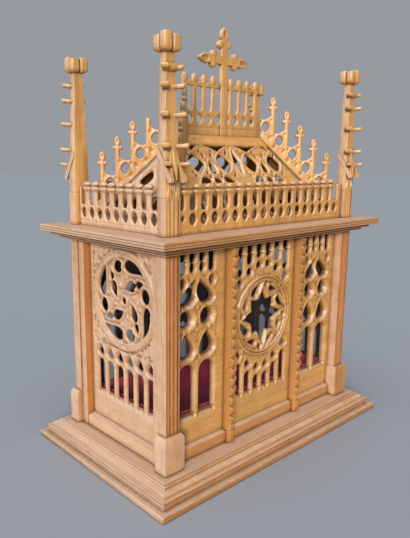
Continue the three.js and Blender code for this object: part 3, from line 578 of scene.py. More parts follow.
class Carving:
    """A board cut and carved from its face, as a grid of values in mm over (u, v).

    edge is the distance in from the nearest cut, relief the height of the face, hollow what
    is taken from behind, and the last grid a share of painted shade added on top.
    """

    ground = -1.6  # the sunk ground that leaves stand on

    def __init__(self, u0, u1, v0, v1, cell, whole=True):
        self.u = np.linspace(u0, u1, max(3, round((u1 - u0) / cell) + 1))
        self.v = np.linspace(v0, v1, max(3, round((v1 - v0) / cell) + 1))
        self.U, self.V = np.meshgrid(self.u, self.v, indexing="ij")
        self.cell = cell
        self.edge = np.full(self.U.shape, FULL_WOOD if whole else -FULL_WOOD)
        self.relief, self.hollow, self.extra_shade = (np.zeros(self.U.shape) for _ in range(3))

    def window(self, outline, reach):
        """The part of the grid within reach of an outline."""
        lo, hi = outline.min(0) - reach, outline.max(0) + reach
        a, b = np.searchsorted(self.u, [lo[0], hi[0]])
        c, d = np.searchsorted(self.v, [lo[1], hi[1]])
        return slice(max(a - 1, 0), b + 1), slice(max(c - 1, 0), d + 1)

    def distance(self, outline, reach=9.0):
        """The part of the grid near an outline, and how far each of its points is from it."""
        w = self.window(outline, reach)
        return w, outside_distance(self.U[w], self.V[w], outline)

    def add(self, outline, reach=3.0):
        """Wood inside this outline is kept."""
        w, d = self.distance(np.asarray(outline, dtype=float), reach)
        self.edge[w] = np.maximum(self.edge[w], -d)

    def cut(self, outline, splay, depth, rim=None):
        """An opening, widened towards the face by its splay; a rim is (width, height)."""
        w, d = self.distance(np.asarray(outline, dtype=float))
        if rim:
            width, height = rim
            swell = height * np.sqrt(np.clip(1 - ((d - width / 2) / (width / 2)) ** 2, 0, 1))
            self.relief[w] += np.where((d > 0) & (d < width), swell, 0)
        slope = np.where(d < 0, -depth * np.clip(-d / splay, 0, 1) ** 1.1, 99)
        self.relief[w] = np.minimum(self.relief[w], slope)
        self.edge[w] = np.minimum(self.edge[w], d + splay)

    def light(self, u, w, v1, v0=104.0, v2=110.5, splay=1.2, depth=11.5):
        """An arched window from v2 to v1, over a sill that falls to the back from v0."""
        self.cut(arched(u, w, v2, v1), splay, 2.2)
        sill = (np.abs(self.U - u) < (w - 0.4) / 2) & (self.V > v0) & (self.V <= v2 + self.cell)
        fall = -depth * np.clip((self.V - v0) / (v2 - v0), 0, 1)
        self.relief[sill] = np.minimum(self.relief, fall)[sill]

    def rebate(self, outline, depth, soft=2.0):
        """Thins the board from behind, inside an outline."""
        d = outside_distance(self.U, self.V, outline)
        self.hollow = np.maximum(self.hollow, depth * np.clip(-d / soft, 0, 1))

    def swell(self, outline, height, soft):
        """Raises (or lowers) what is inside an outline, with a soft edge."""
        w, d = self.distance(outline, 1.0)
        self.relief[w] += height * np.clip(-d / soft, 0, 1)

    def sink(self, where, depth):
        """Takes a place down to a depth."""
        self.relief[where] = np.minimum(self.relief[where], -depth)

    def knob(self, outline, height, soft, reach=5.0):
        """Wood that is kept and swells up."""
        self.add(outline, reach)
        self.swell(outline, height, soft)

    def bead(self, u, v, radius, half, height):
        """A raised round moulding on a circle."""
        d = np.abs(np.hypot(self.U - u, self.V - v) - radius)
        body = height * np.sqrt(np.clip(1 - (d / half) ** 2, 0, 1))
        self.relief = np.maximum(self.relief, np.where(d < half, body, -99))

    def leaf(self, u, v, length, width, turn, height):
        """A leaf with a hollow vein."""
        w = self.window(np.array([[u - length, v - length], [u + length, v + length]]), 0)
        c, s = math.cos(math.radians(turn)), math.sin(math.radians(turn))
        a = ((self.U[w] - u) * c + (self.V[w] - v) * s) / (length / 2)
        b = ((self.V[w] - v) * c - (self.U[w] - u) * s) / (width / 2)
        b = b / np.clip(1.05 - 0.6 * a, 0.25, 1.4)
        vein = 0.45 * height * np.exp(-((b / 0.16) ** 2))
        body = height * np.sqrt(np.clip(1 - a * a - b * b, 0, 1)) - vein
        raised = np.maximum(self.relief[w], body + self.ground)
        self.relief[w] = np.where(a * a + b * b < 1, raised, self.relief[w])

    def foliage(self, where, count, seed, length, width, height):
        """Carved leaves over a sunk ground, wherever `where` holds."""
        rng = np.random.default_rng(seed)
        open_wood = where & (self.edge > 1.0)
        self.sink(open_wood, -self.ground)
        spots = np.argwhere(open_wood & (self.edge > 2.0))
        for i, j in spots[rng.permutation(len(spots))[:count]]:
            size = rng.uniform(0.8, 1.15)
            turn = rng.uniform(0, 360)
            self.leaf(self.u[i], self.v[j], length * size, width * size, turn, height)

    def build(self, place, thick, arris, skins):
        """Points, faces and painted-shade values of the closed board.

        skins says what lies behind the face: "mirror" is the same carving again, "hollow" a
        back that follows the rebates, and "flat" a plain one with few faces.
        """
        least = 0.12 * self.cell
        f = np.where(self.edge >= 0, np.maximum(self.edge, least), np.minimum(self.edge, -least))
        nu, nv = f.shape
        grid = nu * nv
        wood = f > 0
        soft = softened(self.relief, 1)
        # Painted shade: valleys between raised parts are found and darkened
        crease_shade_grid = np.clip((softened(self.relief, 14) - soft) / 1.6, -0.4, 1)
        case = wood[:-1, :-1] * 1 + wood[1:, :-1] * 2 + wood[1:, 1:] * 4 + wood[:-1, 1:] * 8
        node = np.arange(grid).reshape(nu, nv)
        first, right, far, up = node[:-1, :-1], node[1:, :-1], node[1:, 1:], node[:-1, 1:]
        label = [first, right, far, up, grid + first, 2 * grid + right, grid + up, 2 * grid + first]
        faces = [
            np.stack([label[p][case == k] for p in shape], -1)
            for k, shapes in CASES.items()
            for shape in shapes
        ]

        def crossings(value, turned):
            """The value where the outline crosses the grid's lines, one way or the other."""
            x, g = (value.T, f.T) if turned else (value, f)
            t = np.clip(g[:-1] / (g[:-1] - g[1:] + 1e-12), 0, 1)
            out = np.vstack([x[:-1] + (x[1:] - x[:-1]) * t, np.zeros(x.shape[1])])
            return (out.T if turned else out).ravel()

        used, packed = np.unique(np.concatenate([x.ravel() for x in faces]), return_inverse=True)
        U, V, R, crease_shade, hollow, extra_shade = (
            np.concatenate([x.ravel(), crossings(x, False), crossings(x, True)])[used]
            for x in (self.U, self.V, soft, crease_shade_grid, self.hollow, self.extra_shade)
        )
        edge = np.clip(np.concatenate([f.ravel(), np.zeros(2 * grid)])[used], 0, None)
        stops = np.cumsum([x.size for x in faces])[:-1]
        faces = [part.reshape(x.shape) for part, x in zip(np.split(packed.ravel(), stops), faces)]

        over = 1 - np.minimum(edge, arris) / arris
        W = R - arris * (1 - np.sqrt(np.clip(1 - over**2, 0, 1)))
        W = np.maximum(W, -thick * (0.44 if skins == "mirror" else 0.96) + hollow)
        # Painted shade: deep relief, the valleys and any added share darken the wood
        carve = np.clip(np.clip(-R / 6.0, 0, 1) * 0.22 + crease_shade * 0.8 + extra_shade, 0, 1)
        n = len(used)
        rim = open_edges(faces, n)
        front = place(U, V, W)
        if skins == "mirror":
            points = np.concatenate([front, place(U, V, -thick - W)])
            return points, two_skins(faces, n, rim), np.tile(carve, 2)
        if skins == "hollow":
            points = np.concatenate([front, place(U, V, hollow - thick)])
            inner = np.full(n, INNER_SHADE)
            return points, two_skins(faces, n, rim), np.concatenate([carve, inner])

        ids = np.unique(rim)
        ends = np.searchsorted(ids, rim)
        flat = [Vector((U[g], V[g])) for g in ids]
        bounds = [(int(a), int(b)) for a, b in ends]
        spots, _, triangles, source = delaunay_2d_cdt(flat, bounds, [], 0, 1e-6, True)[:4]
        back = []
        for tri in triangles:
            middle = [sum(spots[k][c] for k in tri) / 3 for c in (0, 1)]
            (i, s), (j, t) = step_of(middle[0], self.u), step_of(middle[1], self.v)
            here = (f[i, j] * (1 - s) + f[i + 1, j] * s) * (1 - t)
            here += (f[i, j + 1] * (1 - s) + f[i + 1, j + 1] * s) * t
            if here > 0 and all(source[k] for k in tri):
                back.append([n + source[k][0] for k in tri][::-1])
        walls = np.stack([rim[:, 1], rim[:, 0], n + ends[:, 0], n + ends[:, 1]], -1)
        points = np.concatenate([front, place(U[ids], V[ids], np.full(len(ids), -thick))])
        inner = np.full(len(ids), INNER_SHADE)
        return points, [*faces, np.array(back), walls], np.concatenate([carve, inner])


def on_side(side, plane):
    """Maps (u, v, w) on a side of the case to x, y, z; w stands out from the plane."""
    turn = math.radians(TURN[side])
    c, s = round(math.cos(turn)), round(math.sin(turn))

    def place(u, v, w):
        y = -(plane + w)
        return np.stack([u * c - y * s, u * s + y * c, v + 0 * u], -1)

    return place


def carved_piece(
    carving, node, finish, place, thick, skins,
    arris=None, suffix="carved", flip=False,
):
    """Writes the piece that a carving makes in place of its CAD node."""
    points, faces, carve = carving.build(place, thick, arris or setting("arris"), skins)
    if flip:
        faces = [f[:, ::-1] for f in faces]
    name = node.replace("tracery_panel", "tracery") + "_" + suffix
    settle(new_piece(name, points, faces, finish, carve, 52), node)


# ----------------------------------------------------------- boards and strips
def wander(points, amount, scale=0.035):
    """Moves points by a slow, repeatable wave, as hand-planed wood is never dead flat."""
    p = np.asarray(points, dtype=float)
    phase = p @ np.array([[0.9, 0.31, 0.17], [0.27, 0.8, 0.41], [0.13, 0.37, 0.85]]) * scale
    return p + amount * np.sin(phase + np.array([0.3, 1.7, 2.9]))


def mitred_round(node, suffix, slot, profile, half_x, half_y, gap, steps):
    """A moulding along each side of a rectangle, with a gap at its mitres."""
    inset, z = np.array(profile).T
    for side in TURN:
        long = side in LONG_SIDES
        half, depth = (half_x, half_y) if long else (half_y, half_x)
        place, reach, count = on_side(side, 0), half - gap - inset, steps[0 if long else 1]
        rings = [place(2 * reach * k / count - reach, z, depth - inset) for k in range(count + 1)]
        strip = Stock()
        strip.loft([wander(ring, setting("waviness")) for ring in rings])
        strip.stand(f"{node}_{side}", suffix, slot, planed_finish(side), 28, flip=True)


def fillet(profile, radius, n=3):
    """Rounds the corners of a closed profile."""
    out = []
    for i, p in enumerate(profile):
        after = profile[(i + 1) % len(profile)]
        a, b, c = (np.array(q, float) for q in (profile[i - 1], p, after))
        u, v = a - b, c - b
        lu, lv = np.hypot(*u), np.hypot(*v)
        r = min(radius, lu * 0.45, lv * 0.45)
        p0, p2 = b + u / lu * r, b + v / lv * r
        for k in range(n + 1):
            t = k / n
            out.append(tuple((1 - t) ** 2 * p0 + 2 * t * (1 - t) * b + t * t * p2))
    return out


def slab(x, y, z, radius, steps):
    """A board with eased edges, long in x; each span is (low, high)."""
    ring = np.array(fillet([(y[0], z[0]), (y[1], z[0]), (y[1], z[1]), (y[0], z[1])], radius))
    middle = np.array([(y[0] + y[1]) / 2, (z[0] + z[1]) / 2])
    end = middle + (ring - middle) * (1 - radius / np.array([y[1] - y[0], z[1] - z[0]]) * 2)
    places = x[0] + (x[1] - x[0]) * np.arange(steps + 1) / steps
    places[0], places[-1] = x[0] + radius, x[1] - radius
    rings = [wander(np.insert(ring, 0, p, axis=1), setting("waviness")) for p in places]
    board = Stock()
    board.loft([np.insert(end, 0, x[0], axis=1), *rings, np.insert(end, 0, x[1], axis=1)])
    return board


def at_corner(points, sx, sy):
    """Points measured in from an outer corner of the case, kept anticlockwise."""
    points = np.array(points, dtype=float)
    points[:, 0] = sx * (POST_X - points[:, 0])
    points[:, 1] = sy * (POST_Y - points[:, 1])
    return points if sx * sy > 0 else points[::-1]


def reeds(count=3, margin=2.8, depth=2.6, n=6):
    """Reeded face of a post, as points from its outer corner along the long side."""
    points = [(0, 0), (margin - 0.3, 0), (margin, depth * 0.8)]
    pitch = (POST_FACE - 2 * margin) / count
    for k in range(count):
        for i in range(n + 1):
            t = i / n
            points.append((margin + (k + t) * pitch, depth * (1 - math.sin(math.pi * t) ** 0.6)))
    end = POST_FACE - margin
    return [*points, (end, depth * 0.8), (end + 0.3, 0), (POST_FACE, 0)]


# ------------------------------------------------------------------ operators
class RELIQUARY_OT_base(bpy.types.Operator):
    """Lays the base board, its mitred mouldings and the floor board"""

    bl_idname = "reliquary.base"
    bl_label = "Base"

    def execute(self, context):
        half_y = BASE_HY - 0.25
        board = slab((-BASE_HX, BASE_HX), (-half_y, half_y), (0.2, BASE_THICK), 1.4, 40)
        board.stand("base_board", "worn", "oak_board", finish_for("board", "X"))
        profile = np.array(BASE_PROFILE) + [0.1, 0]
        mitred_round(
            "base_moulding", "shaped", "oak_board", profile, BASE_HX, BASE_HY, 0.1, (40, 26)
        )
        hx, hy = BASE_HX - 50.4, BASE_HY - 50.4
        floor = slab((-hx, hx), (-hy, hy), (25.8, PLINTH_Z), 0.5, 30)
        floor.stand("floor_board", "planed", "oak_board", finish_for("board", "X"))
        return {"FINISHED"}


class RELIQUARY_OT_posts(bpy.types.Operator):
    """Sets the reeded corner posts and their weathered foot blocks"""

    bl_idname = "reliquary.posts"
    bl_label = "Corner posts and feet"

    def execute(self, context):
        back_of_post = [
            (POST_FACE, 34.4), (28.8, 35), (3, 35), (3, 20.4),
            (2.4, 19.9), (0.3, 19.9), (0, 19.5), (0, 0.4),
        ]
        out = 7.9
        foot = np.array([
            (-out, -out), (33.6, -out), (33.6, 17.4), (29.8, 17.4),
            (29.8, -0.4), (-0.4, -0.4), (-0.4, 17.7), (-out, 17.7),
        ])
        # the way each point moves in as the block's top is weathered back
        inward = np.column_stack(
            [(foot[:, 0] == -out) * 1.0 - (foot[:, 0] == 33.6), foot[:, 1] == -out]
        )
        foot_levels = (
            (38, 0.5), (38.6, 0), (60, 0), (80, 0), (95.5, 0), (96.4, 0.4), (99, 1.9), (102, 3.4),
        )
        for name, (sx, sy) in CORNERS.items():
            plan = at_corner(reeds() + back_of_post, sx, sy)
            post = Stock()
            post.loft([np.insert(plan, 2, z, axis=1) for z in np.linspace(CASE_Z0, CASE_Z1, 14)])
            post.stand(f"corner_post_{name}", "reeded", "oak_side", finish_for("varnished"), 30)
            block = Stock()
            block.loft([
                np.insert(at_corner(foot + inset * inward, sx, sy), 2, z, axis=1)
                for z, inset in foot_levels
            ])
            # Painted light: the left feet, turned to the window lamp, get the paler wood
            finish = finish_for("blush" if sx < 0 else "board")
            block.stand(f"foot_block_{name}", "weathered", "oak_board", finish, 30)
        return {"FINISHED"}


def two_light_panel(axis, u0, u1):
    """Two arched lights, then drops and ovals, under hanging lancets."""
    c = Carving(u0, u1, PANEL_Z0, PANEL_Z1, setting("cell"))
    c.rebate(square(axis - 48, axis + 48, 350, 400), 4.5)
    head = 204.8
    for s in (-1, 1):
        near = axis + s * 23.2
        c.light(near, 39.5, head, splay=1.0)
        arch = outside_distance(c.U, c.V, arched(near, 39.5, 90, head))
        c.relief[(np.abs(arch - 2.6) < 1.1) & (c.V > 190)] -= 1.0
        for outline, splay, depth in (
            (teardrop(near, 207.5, 262, 41, s * 1.5), 5.6, 8.5),
            (oval(axis + s * 23.6, 280.6, 39, 37.5, 70 * s), 7.6, 9.0),
            (teardrop(axis + s * 24.0, 299.5, 350, 41, -s * 20), 4.8, 8.0),
            (oval(axis + s * 33.6, 342.5, 18.5, 21), 3.2, 5.0),
        ):
            c.cut(outline, splay, depth, (3.6, 1.5))
        c.cut(lancet(axis + s * 33.2, 18.0, 356, 399), 1.0, 2)
        c.cut(oval(axis + s * 11.1, 366.5, 16.5, 21), 2.0, 3.5)
        c.cut(lancet(axis + s * 11.1, 17.0, 373.5, 399), 1.0, 2)
        for du, v, turn in (
            (4, 262, 60), (41, 263, 120), (3, 298, 120), (45, 302, 60), (23, 205.6, 90),
            (2, 206, 40), (44, 207, 140), (30, 264, 20), (14, 264, 160),
        ):
            c.leaf(axis + s * du, v, 9, 5, turn if s > 0 else 180 - turn, 3.2)
    between = (np.abs(c.U - axis) < 46) & (c.V > 203) & (c.V < 352) & (np.abs(c.relief) < 0.4)
    c.foliage(between & (c.edge > 5), 95, 17, 8.5, 4.4, 2.2)
    for knob in (-22.2, 0, 22.2):
        for v in (376.2 - 3.4, 376.2 + 3.4):
            c.add(oval(axis + knob, v, 10.4, 6.0), 4)
            c.leaf(axis + knob, v, 9, 6, 0, 2.4)
    for v in (204, 261, 300):
        c.leaf(axis, v, 8, 7, 90, 4.2)
    c.swell(square(u0 - 3, u1 + 3, 396.5, 402), 1.6, 1.2)
    return c


def star_rose_panel(u0, u1):
    """A round light with a star of points, between six lights and hanging lancets."""
    c = Carving(u0, u1, PANEL_Z0, PANEL_Z1, setting("cell") * 0.94)
    c.rebate(square(-82, 82, 100, 400), 5.0)
    rho = np.hypot(c.U, c.V - ROSE_Z)
    pitch, rim = 25.7, (2.6, 1.4)
    # from the outermost pair inwards: light's head, drop's foot and tip, oval's middle and
    # height, hanging light's foot
    heights = (
        (174, 178, 202, 322, 23, 334),
        (155, 158, 181, 341.5, 22, 354),
        (142, 147, 170, 352, 20.5, 364),
    )
    for i in range(6):
        u = (i - 2.5) * pitch
        head, foot, tip, middle, tall, hung = heights[min(i, 5 - i)]
        lean = math.copysign(1.2, u) if i in (0, 5) else 0
        c.light(u, 19.6, head, v2=112.0, depth=6.8)
        c.cut(teardrop(u + lean, foot, tip, 22.5), 4.2, 4.8, rim)
        c.cut(lancet(u, 19.6, hung, 399), 1.0, 2)
        c.cut(oval(u, middle, 22.5, tall), 4.4, 4.8, rim)
    for i in range(7):
        u = (i - 3) * pitch
        c.add(oval(u, 375.5, 13.5, 6.5), 4)
        c.swell(oval(u, 375.5, 15, 7), 2.2, 2.6)
        c.swell(oval(u, 112, 9, 16), 0.8, 2.5)
    c.relief[rho < 66] = -2.6
    c.edge[rho < 69.5] = FULL_WOOD
    star = []
    for i in range(8):
        tip, shoulder = (49, 42) if i % 2 else (60, 47)
        for r, turn in (
            (34, -22.5), (39, -14), (shoulder, -6.5), (tip, 0), (shoulder, 6.5), (39, 14),
        ):
            star.append(at(r, i * 45 + turn, 0, ROSE_Z))
    c.cut(star, 2.2, 3.4, (5.4, 3.0))
    for q in range(0, 360, 90):
        c.cut(whirled(((50, 40), (52.5, 24), (66, 4)), q, ROSE_Z, 17.5), 2.4, 3.4, (4.2, 2.8))
        c.cut(whirled(((54, 72), (54.5, 61), (61, 45)), q, ROSE_Z, 13.5), 2.0, 3.0, (3.8, 2.8))
        c.cut(oval(*at(59.5, 83 + q, 0, ROSE_Z), 12.5, 12.5), 1.8, 2.6, (3.4, 2.6))
    for k in range(8):
        turn = 22.5 + 45 * k
        c.leaf(*at(41, turn, 0, ROSE_Z), 13, 7, turn, 3.2)
    c.bead(0, ROSE_Z, 74.6, 2.4, 3.4)
    c.bead(0, ROSE_Z, 68.6, 2.6, 2.6)
    c.sink((rho > 70.6) & (rho < 72.4), 1.2)
    round_it = (rho > 77.5) & (rho < 96) & (np.abs(c.U) < 81) & (c.V > 170) & (c.V < 345)
    c.foliage(round_it, 90, 11, 9, 5, 2.0)
    c.swell(square(u0 - 3, u1 + 3, 396.5, 402), 1.6, 1.2)
    return c


class RELIQUARY_OT_front_panels(bpy.types.Operator):
    """Carves the three front panels: two-light bays and the star rose"""

    bl_idname = "reliquary.front_panels"
    bl_label = "Front tracery"

    def execute(self, context):
        for name, axis in (("left", -BAY_X), ("right", BAY_X), ("centre", 0)):
            node = f"tracery_panel_front_{name}"
            u0, u1 = (corner[0] for corner in corners(node))
            panel = two_light_panel(axis, u0, u1) if axis else star_rose_panel(u0, u1)
            place = on_side("front", FRONT_PLANE)
            carved_piece(panel, node, finish_for("carved", "X"), place, PANEL_THICK, "hollow")
        return {"FINISHED"}


def whirling_wheel(c, rho):
    """Four arms of curved pods in a wheel, with leaves in the corners outside it."""
    c.relief[rho < 76] = -2.4
    rim = (3.6, 2.8)
    for q in range(0, 360, 90):
        for spine, width, low in (
            (((60.5, 90), (68, 65), (78, 41)), 24.5, 0.36),
            (((44, 40), (34.6, 55), (19, 91)), 20.5, 0.46),
            (((45.5, 45), (54, 40), (67, 35)), 14.5, 0.45),
        ):
            c.cut(whirled(spine, q, WHEEL_Z, width, low), 1.2, 2.0, rim)
        c.cut(oval(*at(61.2, 16 + q, 0, WHEEL_Z), 23, 27.5, 16 + q), 1.2, 2.0, rim)
        for r, turn, lean in ((46, 80, 75), (29, 20, 30)):
            c.leaf(*at(r, turn + q, 0, WHEEL_Z), 13, 6.5, lean + q, 2.2)
    c.cut(oval(0, WHEEL_Z, 14.0, 14.0), 1.4, 2.4, (3.8, 2.8))
    c.ground = -3.2
    outside = (rho > 90.5) & (c.V > 207) & (c.V < 395) & (np.abs(c.U) < 93)
    c.foliage(outside, 220, 5, 10, 6.0, 2.6)
    for su, sv in ((-1, 1), (1, 1), (-1, -1), (1, -1)):
        middle = (su * 78, WHEEL_Z + sv * 79)
        for turn in range(12, 360, 60):
            c.leaf(*at(7, turn, *middle), 11, 6.5, turn, 2.6)
        c.leaf(*middle, 5, 5, 0, 3.0)


class RELIQUARY_OT_side_panels(bpy.types.Operator):
    """Carves the two short sides: the whirling wheel and the plain four-light wheel"""

    bl_idname = "reliquary.side_panels"
    bl_label = "Short side tracery"

    def execute(self, context):
        for side in ("left", "right"):
            node = f"tracery_panel_{side}_side"
            half = corners(node)[1][1]
            fine = side in FINE_SIDES
            cell = setting("cell") * (1 if fine else COARSE_SIDE)
            c = Carving(-half, half, PANEL_Z0, PANEL_Z1, cell)
            c.rebate(square(-90, 90, 100, 392), 6.2)
            c.rebate(oval(0, WHEEL_Z, 158, 158), 7.6)
            rho = np.hypot(c.U, c.V - WHEEL_Z)
            for i in range(6):
                u = (i - 2.5) * 28.95
                c.light(u, 22.0, 177, v2=112.5, depth=5.4)
                c.cut(teardrop(u, 179.5, 206.5, 23.5), 3.6, 4.4, (2.8, 1.6))
            if fine:
                whirling_wheel(c, rho)
            else:
                for turn in range(45, 360, 90):
                    c.cut(oval(*at(38, turn, 0, WHEEL_Z), 47, 47), 2.0, 3.0)
                c.cut(oval(0, WHEEL_Z, 13, 13), 1.5, 2.0)
            for radius, width, height in ((78.6, 1.8, 2.2), (82.4, 1.6, 2.6), (86.6, 2.4, 3.2)):
                c.bead(0, WHEEL_Z, radius, width, height)
            for radius in (80.5, 84.1):
                c.sink(np.abs(rho - radius) < 0.7, 0.5)
            # Painted light: the left side, turned to the window lamp, gets the paler wood
            finish = finish_for("blush" if fine else "board", "Y")
            carved_piece(c, node, finish, on_side(side, SIDE_PLANE), PANEL_THICK, "hollow")
        return {"FINISHED"}


class RELIQUARY_OT_back_panels(bpy.types.Operator):
    """Cuts the plainer back panels: arched lights and a quatrefoil"""

    bl_idname = "reliquary.back_panels"
    bl_label = "Back panels"

    def execute(self, context):
        for name, axis in (("left", -BAY_X), ("right", BAY_X), ("centre", 0)):
            node = f"wall_panel_back_{name}"
            lo, hi = corners(node)
            c = Carving(-hi[0], -lo[0], PANEL_Z0, PANEL_Z1, setting("cell") * COARSE_BACK)
            for s in (-1, 1) if axis else ():
                c.light(axis + s * 23.3, 36, 258)
                c.cut(pointed_oval(axis + s * 23.3, 300, 34, 50), 2, 3)
            if not axis:
                for u in (-46, 0, 46):
                    c.light(u, 36, 196)
                for turn in range(0, 360, 90):
                    c.cut(oval(*at(30, turn, 0, 280), 38, 38), 2, 3)
            place = on_side("back", FRONT_PLANE)
            carved_piece(
                c, node, finish_for("board"), place, PANEL_THICK, "flat",
                suffix="cut",
            )
        return {"FINISHED"}


class RELIQUARY_OT_piers(bpy.types.Operator):
    """Carves the husk drops down the front piers and planes the back ones"""

    bl_idname = "reliquary.piers"
    bl_label = "Piers"

    def execute(self, context):
        half_width, ground, foot, count = 7.9, 131.5, 74.0, 18
        step = (CASE_Z1 - foot) / count
        # one husk from its tip up: share of its height, half-width and how far out
        husk = (
            (0.0, 4.0, 132.0), (0.2, 4.8, 133.2), (0.45, 6.2, 135.0),
            (0.68, 7.6, 136.6), (0.84, 8.4, 137.2), (0.93, 8.0, 136.9),
        )
        for side in LONG_SIDES:
            for end, sx in (("left", -1), ("right", 1)):
                axis, place = sx * PIER_X, on_side(side, 0)

                def ring(z, half, out, crown=0.0, back=116.9, n=10):
                    """The pier's section, with a rounded face that may be crowned upwards."""
                    sides = [
                        (half_width, back), (half_width, ground - 0.7),
                        (half_width - 0.4, ground - 0.1),
                    ]
                    points = [(axis - wide, z, w) for wide, w in sides]
                    for i in range(n + 1):
                        t = -1 + 2 * i / n
                        belly = (1 - abs(t) ** 2.6) ** 0.5 if abs(t) < 1 else 0
                        lift = crown * (1 - abs(t))
                        points.append((axis + half * t, z + lift, ground + (out - ground) * belly))
                    points += [(axis + wide, z, w) for wide, w in sides[::-1]]
                    return place(*np.array(points).T)

                rings = [ring(61.9, 6.6, 133.0), ring(68, 6.8, 134.0), ring(foot - 3.2, 6.9, 135.0)]
                if side == "front":
                    for i in range(count, 0, -1):
                        top = CASE_Z1 - (i - 1) * step
                        rings += [
                            ring(top - step + t * step, half, out, -4.2 * t)
                            for t, half, out in husk
                        ]
                        rings.append(ring(top - 0.3, 3.8, 131.7, -3.6))
                else:
                    rings += [ring(z, 6.9, 133.8) for z in np.linspace(90, CASE_Z1, 8)]
                stock = Stock()
                stock.loft(rings)
                block = ((CASE_Z0, 132.0), (46, 132.0), (50, 133.9), (61.8, 133.9))
                stock.loft([ring(z, 6.9, out, 0, 125.4) for z, out in block])
                stock.stand(f"pier_{side}_{end}", "carved", "oak_carved", finish_for("shaded"), 46)
        return {"FINISHED"}


class RELIQUARY_OT_rails(bpy.types.Operator):
    """Fits the bevelled rails round the foot of the case"""

    bl_idname = "reliquary.rails"
    bl_label = "Foot rails"

    def execute(self, context):
        for side in TURN:
            node = f"foot_rail_{side}"
            long = side in LONG_SIDES
            half = corners(node)[1][0 if long else 1]
            plane, thick = (FRONT_PLANE, 8.2) if long else (SIDE_PLANE, 14)
            ring = fillet([(0, 37.95), (thick, 37.95), (thick, 57.5), (0, 61.4)], 0.7)
            w, z = np.array(ring).T
            place = on_side(side, plane + 0.3)
            rail = Stock()
            rail.loft([wander(place(u + 0 * w, z, w), 0.12) for u in np.linspace(half, -half, 24)])
            rail.stand(node, "bevelled", "oak_board", planed_finish(side), 28)
        return {"FINISHED"}


class RELIQUARY_OT_glazing(bpy.types.Operator):
    """Glazes the walls and lines the case with crimson velvet"""

    bl_idname = "reliquary.glazing"
    bl_label = "Glass and velvet"

    def execute(self, context):
        for side in TURN:
            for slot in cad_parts[f"glass_pane_{side}"].material_slots:
                slot.material = finish_for("glass")
        lo, hi = corners("velvet_lining")
        x, y, z0, z1 = hi[0] - 0.4, hi[1] - 0.4, lo[2] + 0.2, hi[2] - 0.3
        up, thick, step, close = z1 - z0, 1.2, 9.0, 1e-6

        def lines(half):
            """Lines across the cloth, with one on each of its two folds."""
            across = np.linspace(-half - up, half + up, int(2 * (half + up) / step))
            flap = np.linspace(half, half + up, 9)
            return np.unique(np.concatenate([across[np.abs(across) < half - 2], flap, -flap]))

        def folded(u, v, inward):
            """A point of the flat cross once its four flaps are turned up."""
            over_u, over_v = np.maximum(np.abs(u) - x, 0), np.maximum(np.abs(v) - y, 0)
            height = over_u + over_v
            px = np.copysign(np.minimum(np.abs(u), x) - inward * (np.abs(u) > x - close), u)
            py = np.copysign(np.minimum(np.abs(v), y) - inward * (np.abs(v) > y - close), v)
            puff = np.abs(0.3 * np.sin(u * 0.045 + 1.1) * np.sin(v * 0.06 + 0.4))
            lift = np.where(height > 0, 0, puff) if inward else 0
            return np.column_stack([px, py, z0 + np.maximum(height, inward) + lift])

        U, V = np.meshgrid(lines(x), lines(y), indexing="ij")
        kept = ~((np.abs(U) > x + close) & (np.abs(V) > y + close))
        n = int(kept.sum())
        number = np.where(kept, np.cumsum(kept).reshape(kept.shape) - 1, -1)
        cells = [number[:-1, :-1], number[1:, :-1], number[1:, 1:], number[:-1, 1:]]
        quads = np.stack([c.ravel() for c in cells], -1)
        quads = quads[(quads >= 0).all(axis=1)]
        points = np.concatenate([folded(U[kept], V[kept], inward) for inward in (thick, 0.0)])
        faces = two_skins([quads], n, open_edges([quads], n))
        cloth = new_piece("velvet_lining_laid", points, faces, finish_for("velvet"), sharp=70)
        settle(cloth, "velvet_lining")
        return {"FINISHED"}


class RELIQUARY_OT_cornice(bpy.types.Operator):
    """Mitres the cornice boards and closes the case with its ceiling"""

    bl_idname = "reliquary.cornice"
    bl_label = "Cornice"

    def execute(self, context):
        lo, hi = corners("cornice_front")
        profile = np.array(CORNICE_PROFILE) + [0.05, 0]
        mitred_round("cornice", "moulded", "oak_top", profile, hi[0], -lo[1], 0, (44, 28))
        board = slab(*zip(*corners("ceiling_board")), 0.4, 24)
        board.stand("ceiling_board", "planed", "oak_top", finish_for("board", "X"))
        return {"FINISHED"}


